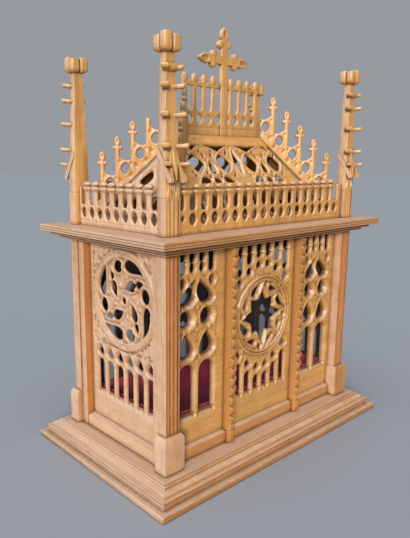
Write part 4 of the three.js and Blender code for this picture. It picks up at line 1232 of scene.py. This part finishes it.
class RELIQUARY_OT_balustrades(bpy.types.Operator):
    """Saws and carves the four balustrades"""

    bl_idname = "reliquary.balustrades"
    bl_label = "Balustrades"

    def execute(self, context):
        for side in TURN:
            node = f"balustrade_{side}"
            long, fine = side in LONG_SIDES, side in FINE_SIDES
            half = corners(node)[1][0 if long else 1]
            count = 18 if long else 9
            first, pitch = {"front": (-216.0, 24.75), "left": (-101.5, 24.6)}.get(
                side, (-(count - 1) * 12.6, 25.2)
            )
            cell = setting("fine_cell") * (1 if fine else COARSE_SIDE)
            c = Carving(-half, half, 424.6, 502.6, cell, whole=False)
            c.add(square(-half - 2, half + 2, 420, 461.4), 9)
            left_end, right_end = first - 0.5 * pitch + 3.4, first + (count - 0.5) * pitch - 3.4
            c.add(square(min(left_end, -half - 2), left_end, 455, 493))
            for i in range(1, count):
                u = first + (i - 0.5) * pitch
                c.add(square(u - 5.1, u + 5.1, 455, 489))
                c.add(spread(u, [(9, 458), (6.4, 463.5), (5.1, 468)]))
                c.add(spread(u, [(5.1, 478), (5.6, 483), (9.4, 488)]))
                for v, w, h in ((490.0, 21.6, 9.0), (497.6, 17.6, 9.2)):
                    c.add(oval(u, v, w, h))
                    c.swell(oval(u, v, w + 2, h + 1), 2.4, 3.0)
                if fine:
                    c.leaf(u - 4.2, 437.5, 11, 5, 118, 1.3)
                    c.leaf(u + 4.2, 437.5, 11, 5, 62, 1.3)
                    c.leaf(u, 459, 8, 8, 90, 1.8)
            c.add(square(right_end, half + 2, 455, 493))
            for i in range(count):
                u = first + i * pitch
                if fine and not (side == "front" and i == 0):
                    c.cut(pointed_oval(u, 447.4, 17.4, 23.6, 2.3), 1.0, 1.4)
                elif side == "front":
                    c.cut(pointed_oval(u + 3, 449, 9, 13), 1.0, 1.6)
            for v, tall, deep in ((494.0, 0.9, 2.2), (433.2, 0.8, 0.9), (461.0, 0.8, 0.8)):
                c.relief[np.abs(c.V - v) < tall] -= deep
            place = on_side(side, (POST_Y if long else POST_X) - 8)
            # The short sides' balustrades get the paler wood, partly painted light
            finish = finish_for("carved" if long else "blush")
            carved_piece(c, node, finish, place, RAIL_THICK, "mirror", 1.7)
        return {"FINISHED"}


SHAFT_Z, NECK_Z, CAP_Z = 507.0, 687.0, 714.9
SHAFT_AXIS = 14.7  # middle of a pinnacle's long face
HOOD_OUT = 13.3  # how far the hood over the face stands out


def taper(z):
    """How far up its taper the pinnacle's shaft is, from 0 to 1."""
    return max(0.0, (z - SHAFT_Z) / (NECK_Z - SHAFT_Z))


def leaning(z):
    """The hood's slope: how far out (negative) it stands at a height."""
    return -HOOD_OUT * min(1.0, max(0.0, (553 - z) / 47.0))


def shaft_ring(z):
    """The plain shaft's section, eased at its corners and tapering inwards."""
    k = taper(z)
    x0, x1, y0 = 6 * k, POST_FACE - 7 * k, 6 * k
    section = [
        (0.5, 0), (28.9, 0), (POST_FACE, 0.5), (POST_FACE, 19.2),
        (28.9, POST_SIDE), (0.5, POST_SIDE), (0, 19.2), (0, 0.5),
    ]
    return [
        (x0 + (x / POST_FACE) * (x1 - x0), y0 + (y / POST_SIDE) * (POST_SIDE - y0), z)
        for x, y in section
    ]


def leaf_head(cx, levels):
    """A leaf over the reeds; levels are (height, half-width, how far out)."""
    return [
        [
            (cx - wide, 0.8, z), (cx - wide * 0.5, -out, z), (cx, 0.3 - out * 0.3, z),
            (cx + wide * 0.5, -out, z), (cx + wide, 0.8, z), (cx, 1.8, z),
        ]
        for z, wide, out in levels
    ]


def crocket(x, y, z, d, size):
    """A square-cut leaf that stands out from an arris, level at first and then lifting."""
    out = np.array([-d, -1.0]) / math.sqrt(2)
    across = np.array([out[1], -out[0]])
    rings = []
    for t, wide, tall, lift in (
        (-5.0, 6.2, 3.1, 0), (1.5, 6.2, 3.2, 0), (4.5, 6.2, 3.2, 0.2), (7.0, 6.6, 3.4, 0.4),
        (9.8, 6.9, 3.6, 0.7), (13.0, 6.9, 3.5, 1.0), (14.4, 5.6, 2.4, 1.3),
    ):
        middle = np.array([x, y + 1.0]) + out * (t if t < 0 else t * size)
        ring = []
        for a in 2 * math.pi * (np.arange(12) + 0.5) / 12:
            ca, sa = (math.copysign(abs(q) ** 0.6, q) for q in (math.cos(a), math.sin(a)))
            spot = middle + across * wide * size * ca
            ring.append((*spot, z + lift + tall * size * sa * (1.25 if sa < 0 else 0.85)))
        rings.append(ring[::-1])
    return rings


def cap_lobe(lx, ly, low):
    """One lobe of the bud at a pinnacle's head, with a worn flat top."""
    rings = []
    for z, k in (
        (NECK_Z + 1.2, 0.5), (NECK_Z + 2.6, 0.78), (NECK_Z + 4.6, 0.95), (NECK_Z + 8, 1.0),
        (NECK_Z + 16, 1.0), (CAP_Z - 4, 0.99), (CAP_Z - 1.2 - low, 0.94), (CAP_Z - low, 0.8),
    ):
        a = np.linspace(0, 2 * math.pi, 25)[:-1]
        r = (np.abs(np.cos(a)) ** 2.8 + np.abs(np.sin(a)) ** 2.8) ** (-1 / 2.8)
        r = r * (1 - 0.05 * np.cos(4 * a))
        x = 14.3 + lx * (0.5 + 0.5 * k) + 8.3 * k * r * np.cos(a)
        y = 12.7 + ly * (0.5 + 0.5 * k) + 7.4 * k * r * np.sin(a)
        rings.append(np.column_stack([x, y, np.full(24, z)]))
    return rings


class RELIQUARY_OT_pinnacles(bpy.types.Operator):
    """Raises the four crocketed pinnacles"""

    bl_idname = "reliquary.pinnacles"
    bl_label = "Pinnacles"

    def execute(self, context):
        outline = [
            *reeds(), (POST_FACE, 19.2), (28.9, POST_SIDE), (0.5, POST_SIDE), (0, 19.2), (0, 0.4),
        ]
        # leaves, as (height, half-width, how far out)
        side_leaf = (
            (478, 4.2, 0.2), (484, 4.9, 1.6), (490, 4.6, 2.2), (497, 2.6, 1.8), (503, 0.6, 0.4),
        )
        lozenge = (
            (486, 0.6, 0.3), (492, 4.4, 2.4), (498, 3.2, 2.0), (504, 4.6, 2.6), (515, 0.6, 0.4),
        )
        leaf_above = (
            (550, 8.6, 0.6), (556, 9.0, 1.4), (572, 6.4, 1.6), (588, 3.4, 1.4), (600, 0.8, 0.6),
        )
        cheek = [
            (19.3, 553.5), (19.3, 544.5), (14, 538), (-6.8, 505.2),
            (-12.8, 505.2), (-HOOD_OUT, 506.4), (-HOOD_OUT, 511.5), (13.8, 552),
        ]
        bud = (
            (508, 0.6, 0.6), (515, 2.6, 2.2), (526, 4.6, 3.6), (536, 5.2, 4.0), (545, 4.0, 3.2),
            (552, 2.6, 2.2), (558, 0.8, 0.8),
        )
        for name, (sx, sy) in CORNERS.items():
            stock = Stock()

            def body(rings, carve=0.0):
                stock.loft([at_corner(ring, sx, sy) for ring in rings], carve)

            # reeded foot, then the plain tapering shaft
            body([[(x, y, z) for x, y in outline] for z in (CORNICE_TOP + 0.4, 452, 476, 483)])
            body([shaft_ring(z) for z in (482.5, 495, SHAFT_Z, 540, 580, 620, 660, NECK_Z + 3)])
            for cx in (6.6, SHAFT_AXIS, 22.8):
                body(leaf_head(cx, lozenge if cx == SHAFT_AXIS else side_leaf), 0.1)
            # the hood: a cheek on each side, two rafters meeting in front, a leaf above
            for x0, x1 in ((-0.8, 5.2), (24.2, 30.0)):
                body([[(x, y, z) for y, z in cheek] for x in (x1, x1 - 0.5, x0 + 0.5, x0)])
            for s in (-1, 1):
                rings = []
                for t in np.linspace(0, 1, 9):
                    z = 505.4 + 51 * t
                    middle, out = SHAFT_AXIS + s * (10.6 * (1 - t) + 2.0), leaning(z)
                    front = [(-2.9, 6.4), (-2.9, 0.6), (-2.2, 0), (2.2, 0), (2.9, 0.6), (2.9, 6.4)]
                    rings.append([(middle + x, out + y, z) for x, y in front])
                body(rings)
            rings = []
            for z, wide, deep in leaf_above:
                brow = -deep * 0.4
                front = [(-wide, 3), (-wide, brow), (0, -deep), (wide, brow), (wide, 3)]
                rings.append([(SHAFT_AXIS + x, 6 * taper(z) + y, z) for x, y in front])
            body(rings)
            # pendant bud under the hood
            turns = np.linspace(2 * math.pi, 0, 11)[1:]
            rings = []
            for z, wide, deep in bud:
                y = leaning(z) * 0.72 + 1.2
                rings.append(
                    [(SHAFT_AXIS + wide * math.cos(a), y - deep * math.sin(a), z) for a in turns]
                )
            body(rings)
            # crockets at the two arrises of the long face
            for z, size in ((532, 0.82), (558, 1.0), (602, 1.0), (642, 1.0), (667.5, 0.9)):
                k = taper(z)
                for d, x in ((1, 6 * k), (-1, POST_FACE - 7 * k)):
                    body(crocket(x, 6 * k if z > 560 else leaning(z), z, d, size))
            # a collar ties the upper pair together
            collar = ((661.5, 0.3), (664, 4.6), (668.5, 6.0), (671.5, 5.2))
            rings = []
            for z, out in collar:
                x0, x1, y = 5.3 - out * 0.8, 23.2 + out * 0.8, 5.4 - out
                front = [(x0, 8.5), (x0, y), (14.3, 5.0 - out * 1.25), (x1, y), (x1, 8.5)]
                rings.append([(*spot, z) for spot in front])
            body(rings)
            for lobe in ((-8.4, -7.4, 0.0), (8.4, -7.4, 2.6), (8.4, 7.4, 1.2), (-8.4, 7.4, 3.4)):
                body(cap_lobe(*lobe), 0.05)
            stock.stand(f"pinnacle_{name}", "carved", "oak_carved", finish_for("carved"), 46)
        return {"FINISHED"}


def front_slope(c):
    """Two rows of quatrefoil openings with drops between them, and leaves in the spandrels."""
    low, wide = (3.2, 2.2), (4.0, 2.2)
    for m in (-107, -37, 37, 107):
        c.cut(diamond(m, 133, 41, 43), 1.6, 2.4, (3.4, 2.2))
        c.cut(diamond(m, 46, 50, 52), 2.0, 3.0, wide)
    c.cut(pointed_oval(0, 135, 20, 64, 1.3), 2.2, 3.0, low)
    for m in (-72, 72):
        c.cut(teardrop(m, 110, 140, 18.5), 1.6, 2.4, low)
    for m in (-142, -71, 0, 71, 142):
        c.cut(teardrop(m, 22, 66, 24), 2.4, 3.0, wide)
    lens = [(-34, 172), (-20, 168.2), (-9, 163), (0, 157), (9, 163), (20, 168.2), (34, 172)]
    for m in (-41, 41):
        c.cut([(m + u, v) for u, v in lens], 0.6, 1.0, (3.0, 2.2))
    for s in (-1, 1):
        horn = [(84, 172), (93, 168), (106, 159.5), (110, 162), (102, 172)][::s]
        c.cut([(s * u, v) for u, v in horn], 0.6, 1.0, (3.0, 2.2))
        for m, lean in ((42, 1), (101, -1)):
            spine = ((s * (m + 13 * lean), 94), (s * m, 98), (s * (m - 17 * lean), 90))
            c.cut(pod(*spine, 17), 1.6, 2.4, low)
        c.cut(oval(s * 72, 96, 21, 14), 1.6, 2.4, (3.0, 2.2))
        c.leaf(s * 72, 94, 12, 7, 90, 4)
        # leaves with dark pockets beside them: middle, height, turn, way to the pocket
        for m, v, turn, way in (
            (57, 159, 60, 4), (87, 159, 120, -4), (17, 160, 130, 4), (120, 154, 60, -4),
            (54, 112, 60, 4), (90, 112, 120, -4), (17, 113, 110, 4), (124, 114, 70, -4),
        ):
            c.cut(oval(s * m, v, 9.5, 4.6, 90 + s * (turn - 90)), 0.4, 0.8)
            c.cut(oval(s * (m + way), v - 6.5, 5.5, 7.5, s * 30), 0.4, 0.8)
            c.leaf(s * m, v - 3.6, 9, 4.5, 90 + s * (90 - turn), 2.6)
        for m, turn in ((62, -18), (82, 18)):
            c.cut(oval(s * m, 149, 5, 10, s * turn), 0.4, 0.8)
    c.relief[c.V > 172.5] = 2.4
    for nail_hole in (-84, 76):
        c.cut(oval(nail_hole, 184, 3.4, 3.4), 0.4, 0.5)


def left_slope(c):
    """Quatrefoil openings, two over four, with drops between them."""
    for m in (-29, 29):
        c.cut(diamond(m, 103, 40, 44), 2.4, 4.5, (5, 2.4))
    c.cut(teardrop(0, 122, 160, 24), 2.4, 4.5, (4.4, 2.4))
    for m in (-72, -24, 24, 72):
        c.cut(diamond(m, 48, 38, 40), 2.4, 4.5, (5, 2.4))
    for m in (-48, 0, 48):
        c.cut(teardrop(m, 26, 62, 18), 2.0, 4.5, (4, 2.2))


def back_slope(c):
    """Two rows of openings without rims."""
    for m in (-107, -37, 37, 107):
        c.cut(diamond(m, 133, 41, 43), 1.2, 1.6)
        c.cut(diamond(m, 50, 46, 46), 1.2, 1.6)
    for m in (-72, 0, 72):
        c.cut(teardrop(m, 100, 146, 18), 1.2, 1.6)


def right_slope(c):
    """Three plain openings."""
    for m in (-28, 28):
        c.cut(oval(m, 104, 38, 42), 2, 4)
    c.cut(pointed_oval(0, 64, 34, 26), 2, 4)


class RELIQUARY_OT_roof(bpy.types.Operator):
    """Carves the four openwork slopes of the hipped roof"""

    bl_idname = "reliquary.roof"
    bl_label = "Roof"

    def execute(self, context):
        eaves_x, eaves_y, ridge_x, ridge_y = 224.5, 120.3, 101.8, 10.8
        foot_z, inset = CORNICE_TOP + 0.4, 3.2
        rise = RIDGE_Z - 0.1 - foot_z
        carve_slope = {
            "front": front_slope, "left": left_slope, "back": back_slope, "right": right_slope,
        }
        for side in TURN:
            long, fine = side in LONG_SIDES, side in FINE_SIDES
            low, high = (eaves_x, ridge_x) if long else (eaves_y, ridge_y)
            run_out = eaves_y if long else eaves_x
            run = run_out - (ridge_y if long else ridge_x)
            length, angle = math.hypot(run, rise), math.atan2(rise, run)
            cell = setting("cell") * (1 if fine else COARSE_ROOF)
            c = Carving(-low, low, 5.6, length - 0.2, cell, whole=False)
            c.add(spread(0, [(low - inset, 0), (high - inset * 0.6, length + 4)]), 30)
            c.rebate(square(-low, low, 8, 172), 2.6)
            # Painted shade: the lower part of each slope, under the balustrade, is painted darker
            c.extra_shade = np.clip((92 - c.V) / 16, 0, 0.85)
            carve_slope[side](c)
            flat, ca, sa = on_side(side, 0), math.cos(angle), math.sin(angle)

            def place(u, s, w):
                """u runs along the eaves, s up the slope and w out of it."""
                return flat(u, foot_z + s * sa + w * ca, run_out - s * ca + w * sa)

            # Painted light: the left slope, turned to the window lamp, gets the paler wood
            finish = finish_for("blush" if side == "left" else "carved", "X" if long else "Y")
            carved_piece(c, f"roof_slope_{side}", finish, place, ROOF_THICK, "hollow", 1.3)
        return {"FINISHED"}


class RELIQUARY_OT_hip_crests(bpy.types.Operator):
    """Cuts the four stepped crestings that ride on the hips"""

    bl_idname = "reliquary.hip_crests"
    bl_label = "Hip crestings"

    def execute(self, context):
        ridge_x, ridge_y = 102, 10.7
        dx, dy = 224.7 - ridge_x, 120.5 - ridge_y
        run, angle = math.hypot(dx, dy), math.atan2(-dy, dx)
        fall = (RIDGE_Z - CORNICE_TOP - 0.3) / run
        end, board = run - 12, 22

        def hip(h):
            """Height of the hip's line at a distance h from the ridge."""
            return RIDGE_Z + 0.4 - h * fall

        for name, (sx, sy) in CORNERS.items():
            c = Carving(0, run - 11, 424.9, 683, setting("fine_cell"), whole=False)
            c.add([(1, hip(1)), (end, hip(end)), (end, hip(end) + board), (1, hip(1) + board)], 6)
            for h in range(11, 124, 28):
                z = hip(h)
                top = [(h + 14 * t, z + 48 + 6.5 * t * t + 4 * t) for t in np.linspace(1, -1, 13)]
                c.add([(h - 14, z + 14 * fall + 16), (h + 14, z - 14 * fall + 16), *top], 8)
                c.cut(pointed_oval(h, z + 32.6, 16.4, 22.6, 2.4), 1.2, 1.6, (3.0, 0.8))
                c.cut(oval(h + 11.2, z + 45.5, 4.0, 6.5, 20), 0.5, 0.6)
                c.cut(oval(h - 11.0, z + 42.5, 4.0, 6.0, -20), 0.5, 0.6)
                c.swell(oval(h - 9, z + 22.5, 8, 12, -25), -2.0, 1.6)
                c.swell(oval(h + 9, z + 12.5, 7, 11, -35), -1.5, 2.0)
            for i in range(5):
                h = 25 + i * 28
                z = hip(h)
                lost = name == "far_left" and i == 1  # this finial has broken off
                high, chip = z + (80.6 if lost else 90), 1.2 if lost else 0
                c.add([
                    (h - 4.6, z + 6), (h + 4.6, z + 6), (h + 4.3, z + 50),
                    (h + 4.0, high), (h - 4.0, high + chip), (h - 4.3, z + 50),
                ], 6)
                c.swell(square(h - 4.2, h + 4.2, z + 10, high), 0.6, 2.5)
                if not lost:
                    c.add(oval(h - 4.8, z + 83, 9.4, 6.6), 5)
                    c.add(oval(h + 4.8, z + 83, 9.4, 6.6), 5)
                    c.add(oval(h, z + 94.6, 11.4, 17.6), 5)
                    c.relief[(np.abs(c.V - z - 86.8) < 0.9) & (np.abs(c.U - h) < 7)] -= 0.9
                    c.swell(oval(h, z + 96, 4.4, 8), -1.0, 1.6)

            def place(u, v, w):
                """u runs down the hip's plan line, and w out of its front face."""
                out = w + HIP_THICK / 2
                x = ridge_x + u * math.cos(angle) + out * math.sin(angle)
                y = -ridge_y + u * math.sin(angle) - out * math.cos(angle)
                return np.stack([x * sx, y * -sy, v + 0 * u], -1)

            finish = finish_for("carved")
            carved_piece(
                c, f"hip_crest_{name}", finish, place, HIP_THICK, "mirror", 1.9, flip=sx * sy > 0
            )
        return {"FINISHED"}


class RELIQUARY_OT_ridge(bpy.types.Operator):
    """Cuts the ridge cresting and the cross that stands before it"""

    bl_idname = "reliquary.ridge"
    bl_label = "Ridge crest and cross"

    def execute(self, context):
        finish, pitch = finish_for("carved"), 24.0
        c = Carving(-101, 101, RIDGE_Z + 0.4, 692.6, setting("fine_cell"), whole=False)
        c.add(square(-104, 104, 580, 628.6), 9)
        c.add(square(-104, 104, 670.4, 679.6), 9)
        for i in range(9):
            u = (i - 4) * pitch
            c.add(square(u - 4.4, u + 4.4, 600, 676), 4)
            c.add(spread(u, [(9, 626), (6, 631), (4.4, 635)]), 4)
            c.leaf(u - 4, 602, 11, 5, 118, 1.4)
            c.leaf(u + 4, 602, 11, 5, 62, 1.4)
            if i != 4:
                c.add(oval(u, 683.6, 13.4, 17.6), 5)
                c.swell(oval(u, 684, 13, 17), 1.9, 4.0)
        for i in range(8):
            c.cut(pointed_oval((i - 3.5) * pitch, 614, 16, 19.5, 2.5), 1.2, 1.6)
        c.relief[c.V < 598.5] += 0.9
        c.relief[np.abs(c.V - 598.5) < 0.9] -= 0.9
        carved_piece(c, "ridge_crest", finish, on_side("front", 3), CREST_THICK, "mirror", 1.9)

        arm_z, half, front = 721.0, 8.1, 7.9
        c = Carving(-67, 67, 676.6, 779.6, setting("fine_cell") * 0.85, whole=False)
        c.add(square(-half, half, 676.6, 757), 5)
        c.add(square(-42, 42, arm_z - half + 0.2, arm_z + half - 0.2), 5)
        # a bud at the end of each arm, as (share of its length, share of its half-width)
        bud = [(0, 0.6), (0.12, 0.88), (0.32, 1), (0.56, 0.86), (0.8, 0.5), (0.94, 0.2)]
        bud = [*bud, (1, 0), *((t, -f) for t, f in bud[::-1])]
        for s in (-1, 1):
            c.add([(s * (36 + 30 * t), arm_z + 9.4 * f) for t, f in bud], 5)
            c.swell(pod((s * 41, arm_z), (s * 50, arm_z), (s * 62, arm_z), 11.5, 0.5), -2.6, 2.6)
            c.knob(oval(s * 10.6, 748.6, 14, 13), 1.2, 5.0)
            for v in (arm_z - 8.8, arm_z + 8.8):
                c.knob(oval(s * 29, v, 13.6, 12.6), 1.2, 5.0)
        c.add(pointed_oval(0, 765.9, 18.4, 25.9, 2.6), 5)
        c.swell(pointed_oval(0, 766.5, 8.5, 17, 2.4), -2.4, 2.4)
        points, faces, carve = c.build(on_side("front", front), 9.8, 1.6, "mirror")
        cross = Stock()
        cross.add(points, [row for f in faces for row in f.tolist()], carve)
        stem = fillet([(-half, -front), (half, -front), (half, -3.4), (-half, -3.4)], 1.2)
        cross.loft([np.insert(stem, 2, z, axis=1) for z in (584.5, 610, 640, 677.5)])
        cross.stand("cross", "carved", "oak_carved", finish, 50)
        return {"FINISHED"}


class RELIQUARY_OT_stage(bpy.types.Operator):
    """Sets the pale floor, the soft lights and the camera"""

    bl_idname = "reliquary.stage"
    bl_label = "Stage"

    def execute(self, context):
        scene = context.scene
        mesh = bpy.data.meshes.new("studio_floor")
        s = 60.0
        mesh.from_pydata([(-s, -s, 0), (s, -s, 0), (s, s, 0), (-s, s, 0)], [], [(0, 1, 2, 3)])
        material, t = blank("studio_floor_matt")
        grey = linear("9aa1a9")
        shader = add_node(
            t, "BsdfPrincipled", Base_Color=grey, Roughness=1.0, Specular_IOR_Level=0.0
        )
        add_node(t, "OutputMaterial", Surface=shader)
        mesh.materials.append(material)
        floor = bpy.data.objects.new("studio_floor", mesh)
        scene.collection.objects.link(floor)
        floor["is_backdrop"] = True

        world = bpy.data.worlds.new("soft_studio")
        world.use_nodes = True
        background = world.node_tree.nodes["Background"]
        background.inputs["Color"].default_value = linear("d0d4da")
        background.inputs["Strength"].default_value = 0.49
        scene.world = world

        # far lamps: azimuth seen from above, height over the floor and spread in degrees
        for name, azimuth, height, strength, spread_over, tint in (
            ("window_light", -50, 16, 3.7, 16, "fff3e4"),
            ("sky_light", -60, 68, 1.25, 50, "eef2ff"),
        ):
            light = bpy.data.lights.new(name, "SUN")
            light.energy, light.angle = strength, math.radians(spread_over)
            light.color = linear(tint)[:3]
            lamp = bpy.data.objects.new(name, light)
            lamp.rotation_euler = (math.radians(90 - height), 0, math.radians(azimuth))
            scene.collection.objects.link(lamp)

        camera = bpy.data.cameras.new("camera")
        camera.sensor_fit, camera.sensor_width = "HORIZONTAL", 36.0
        camera.lens = 47.88
        camera.shift_x, camera.shift_y = 0.0877, 0.012
        viewer = bpy.data.objects.new("camera", camera)
        viewer.location = (-0.7830, -0.7433, 0.5293)
        viewer.rotation_euler = (math.radians(90 - 11.208), 0, math.radians(-41.225))
        scene.collection.objects.link(viewer)
        scene.camera = viewer
        scene.view_settings.view_transform = "Standard"
        return {"FINISHED"}


OPERATORS = (
    RELIQUARY_OT_base, RELIQUARY_OT_posts, RELIQUARY_OT_front_panels, RELIQUARY_OT_side_panels,
    RELIQUARY_OT_back_panels, RELIQUARY_OT_piers, RELIQUARY_OT_rails, RELIQUARY_OT_glazing,
    RELIQUARY_OT_cornice, RELIQUARY_OT_balustrades, RELIQUARY_OT_pinnacles, RELIQUARY_OT_roof,
    RELIQUARY_OT_hip_crests, RELIQUARY_OT_ridge, RELIQUARY_OT_stage,
)


class RELIQUARY_PT_panel(bpy.types.Panel):
    """Lists the reliquary's settings and makers"""

    bl_idname = "RELIQUARY_PT_panel"
    bl_label = "Reliquary"
    bl_space_type = "VIEW_3D"
    bl_region_type = "UI"
    bl_category = "Reliquary"

    def draw(self, context):
        for group in (context.scene.reliquary_carving, context.scene.reliquary_finish):
            for key in group.bl_rna.properties.keys():
                if key not in ("rna_type", "name"):
                    self.layout.prop(group, key)
        for operator in OPERATORS:
            self.layout.operator(operator.bl_idname)


CLASSES = (ReliquaryCarving, ReliquaryFinish, *OPERATORS, RELIQUARY_PT_panel)


def register():
    for cls in CLASSES:
        bpy.utils.register_class(cls)
    bpy.types.Scene.reliquary_carving = bpy.props.PointerProperty(type=ReliquaryCarving)
    bpy.types.Scene.reliquary_finish = bpy.props.PointerProperty(type=ReliquaryFinish)


def unregister():
    del bpy.types.Scene.reliquary_finish
    del bpy.types.Scene.reliquary_carving
    for cls in reversed(CLASSES):
        bpy.utils.unregister_class(cls)


def main():
    """Makes the reliquary."""
    register()
    for operator in OPERATORS:
        group, name = operator.bl_idname.split(".")
        getattr(getattr(bpy.ops, group), name)()
    boxes = {"cad": CAD_BOX, "visual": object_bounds()}
    plain = {key: [[float(c) for c in corner] for corner in box] for key, box in boxes.items()}


if __name__ == "__main__":
    main()
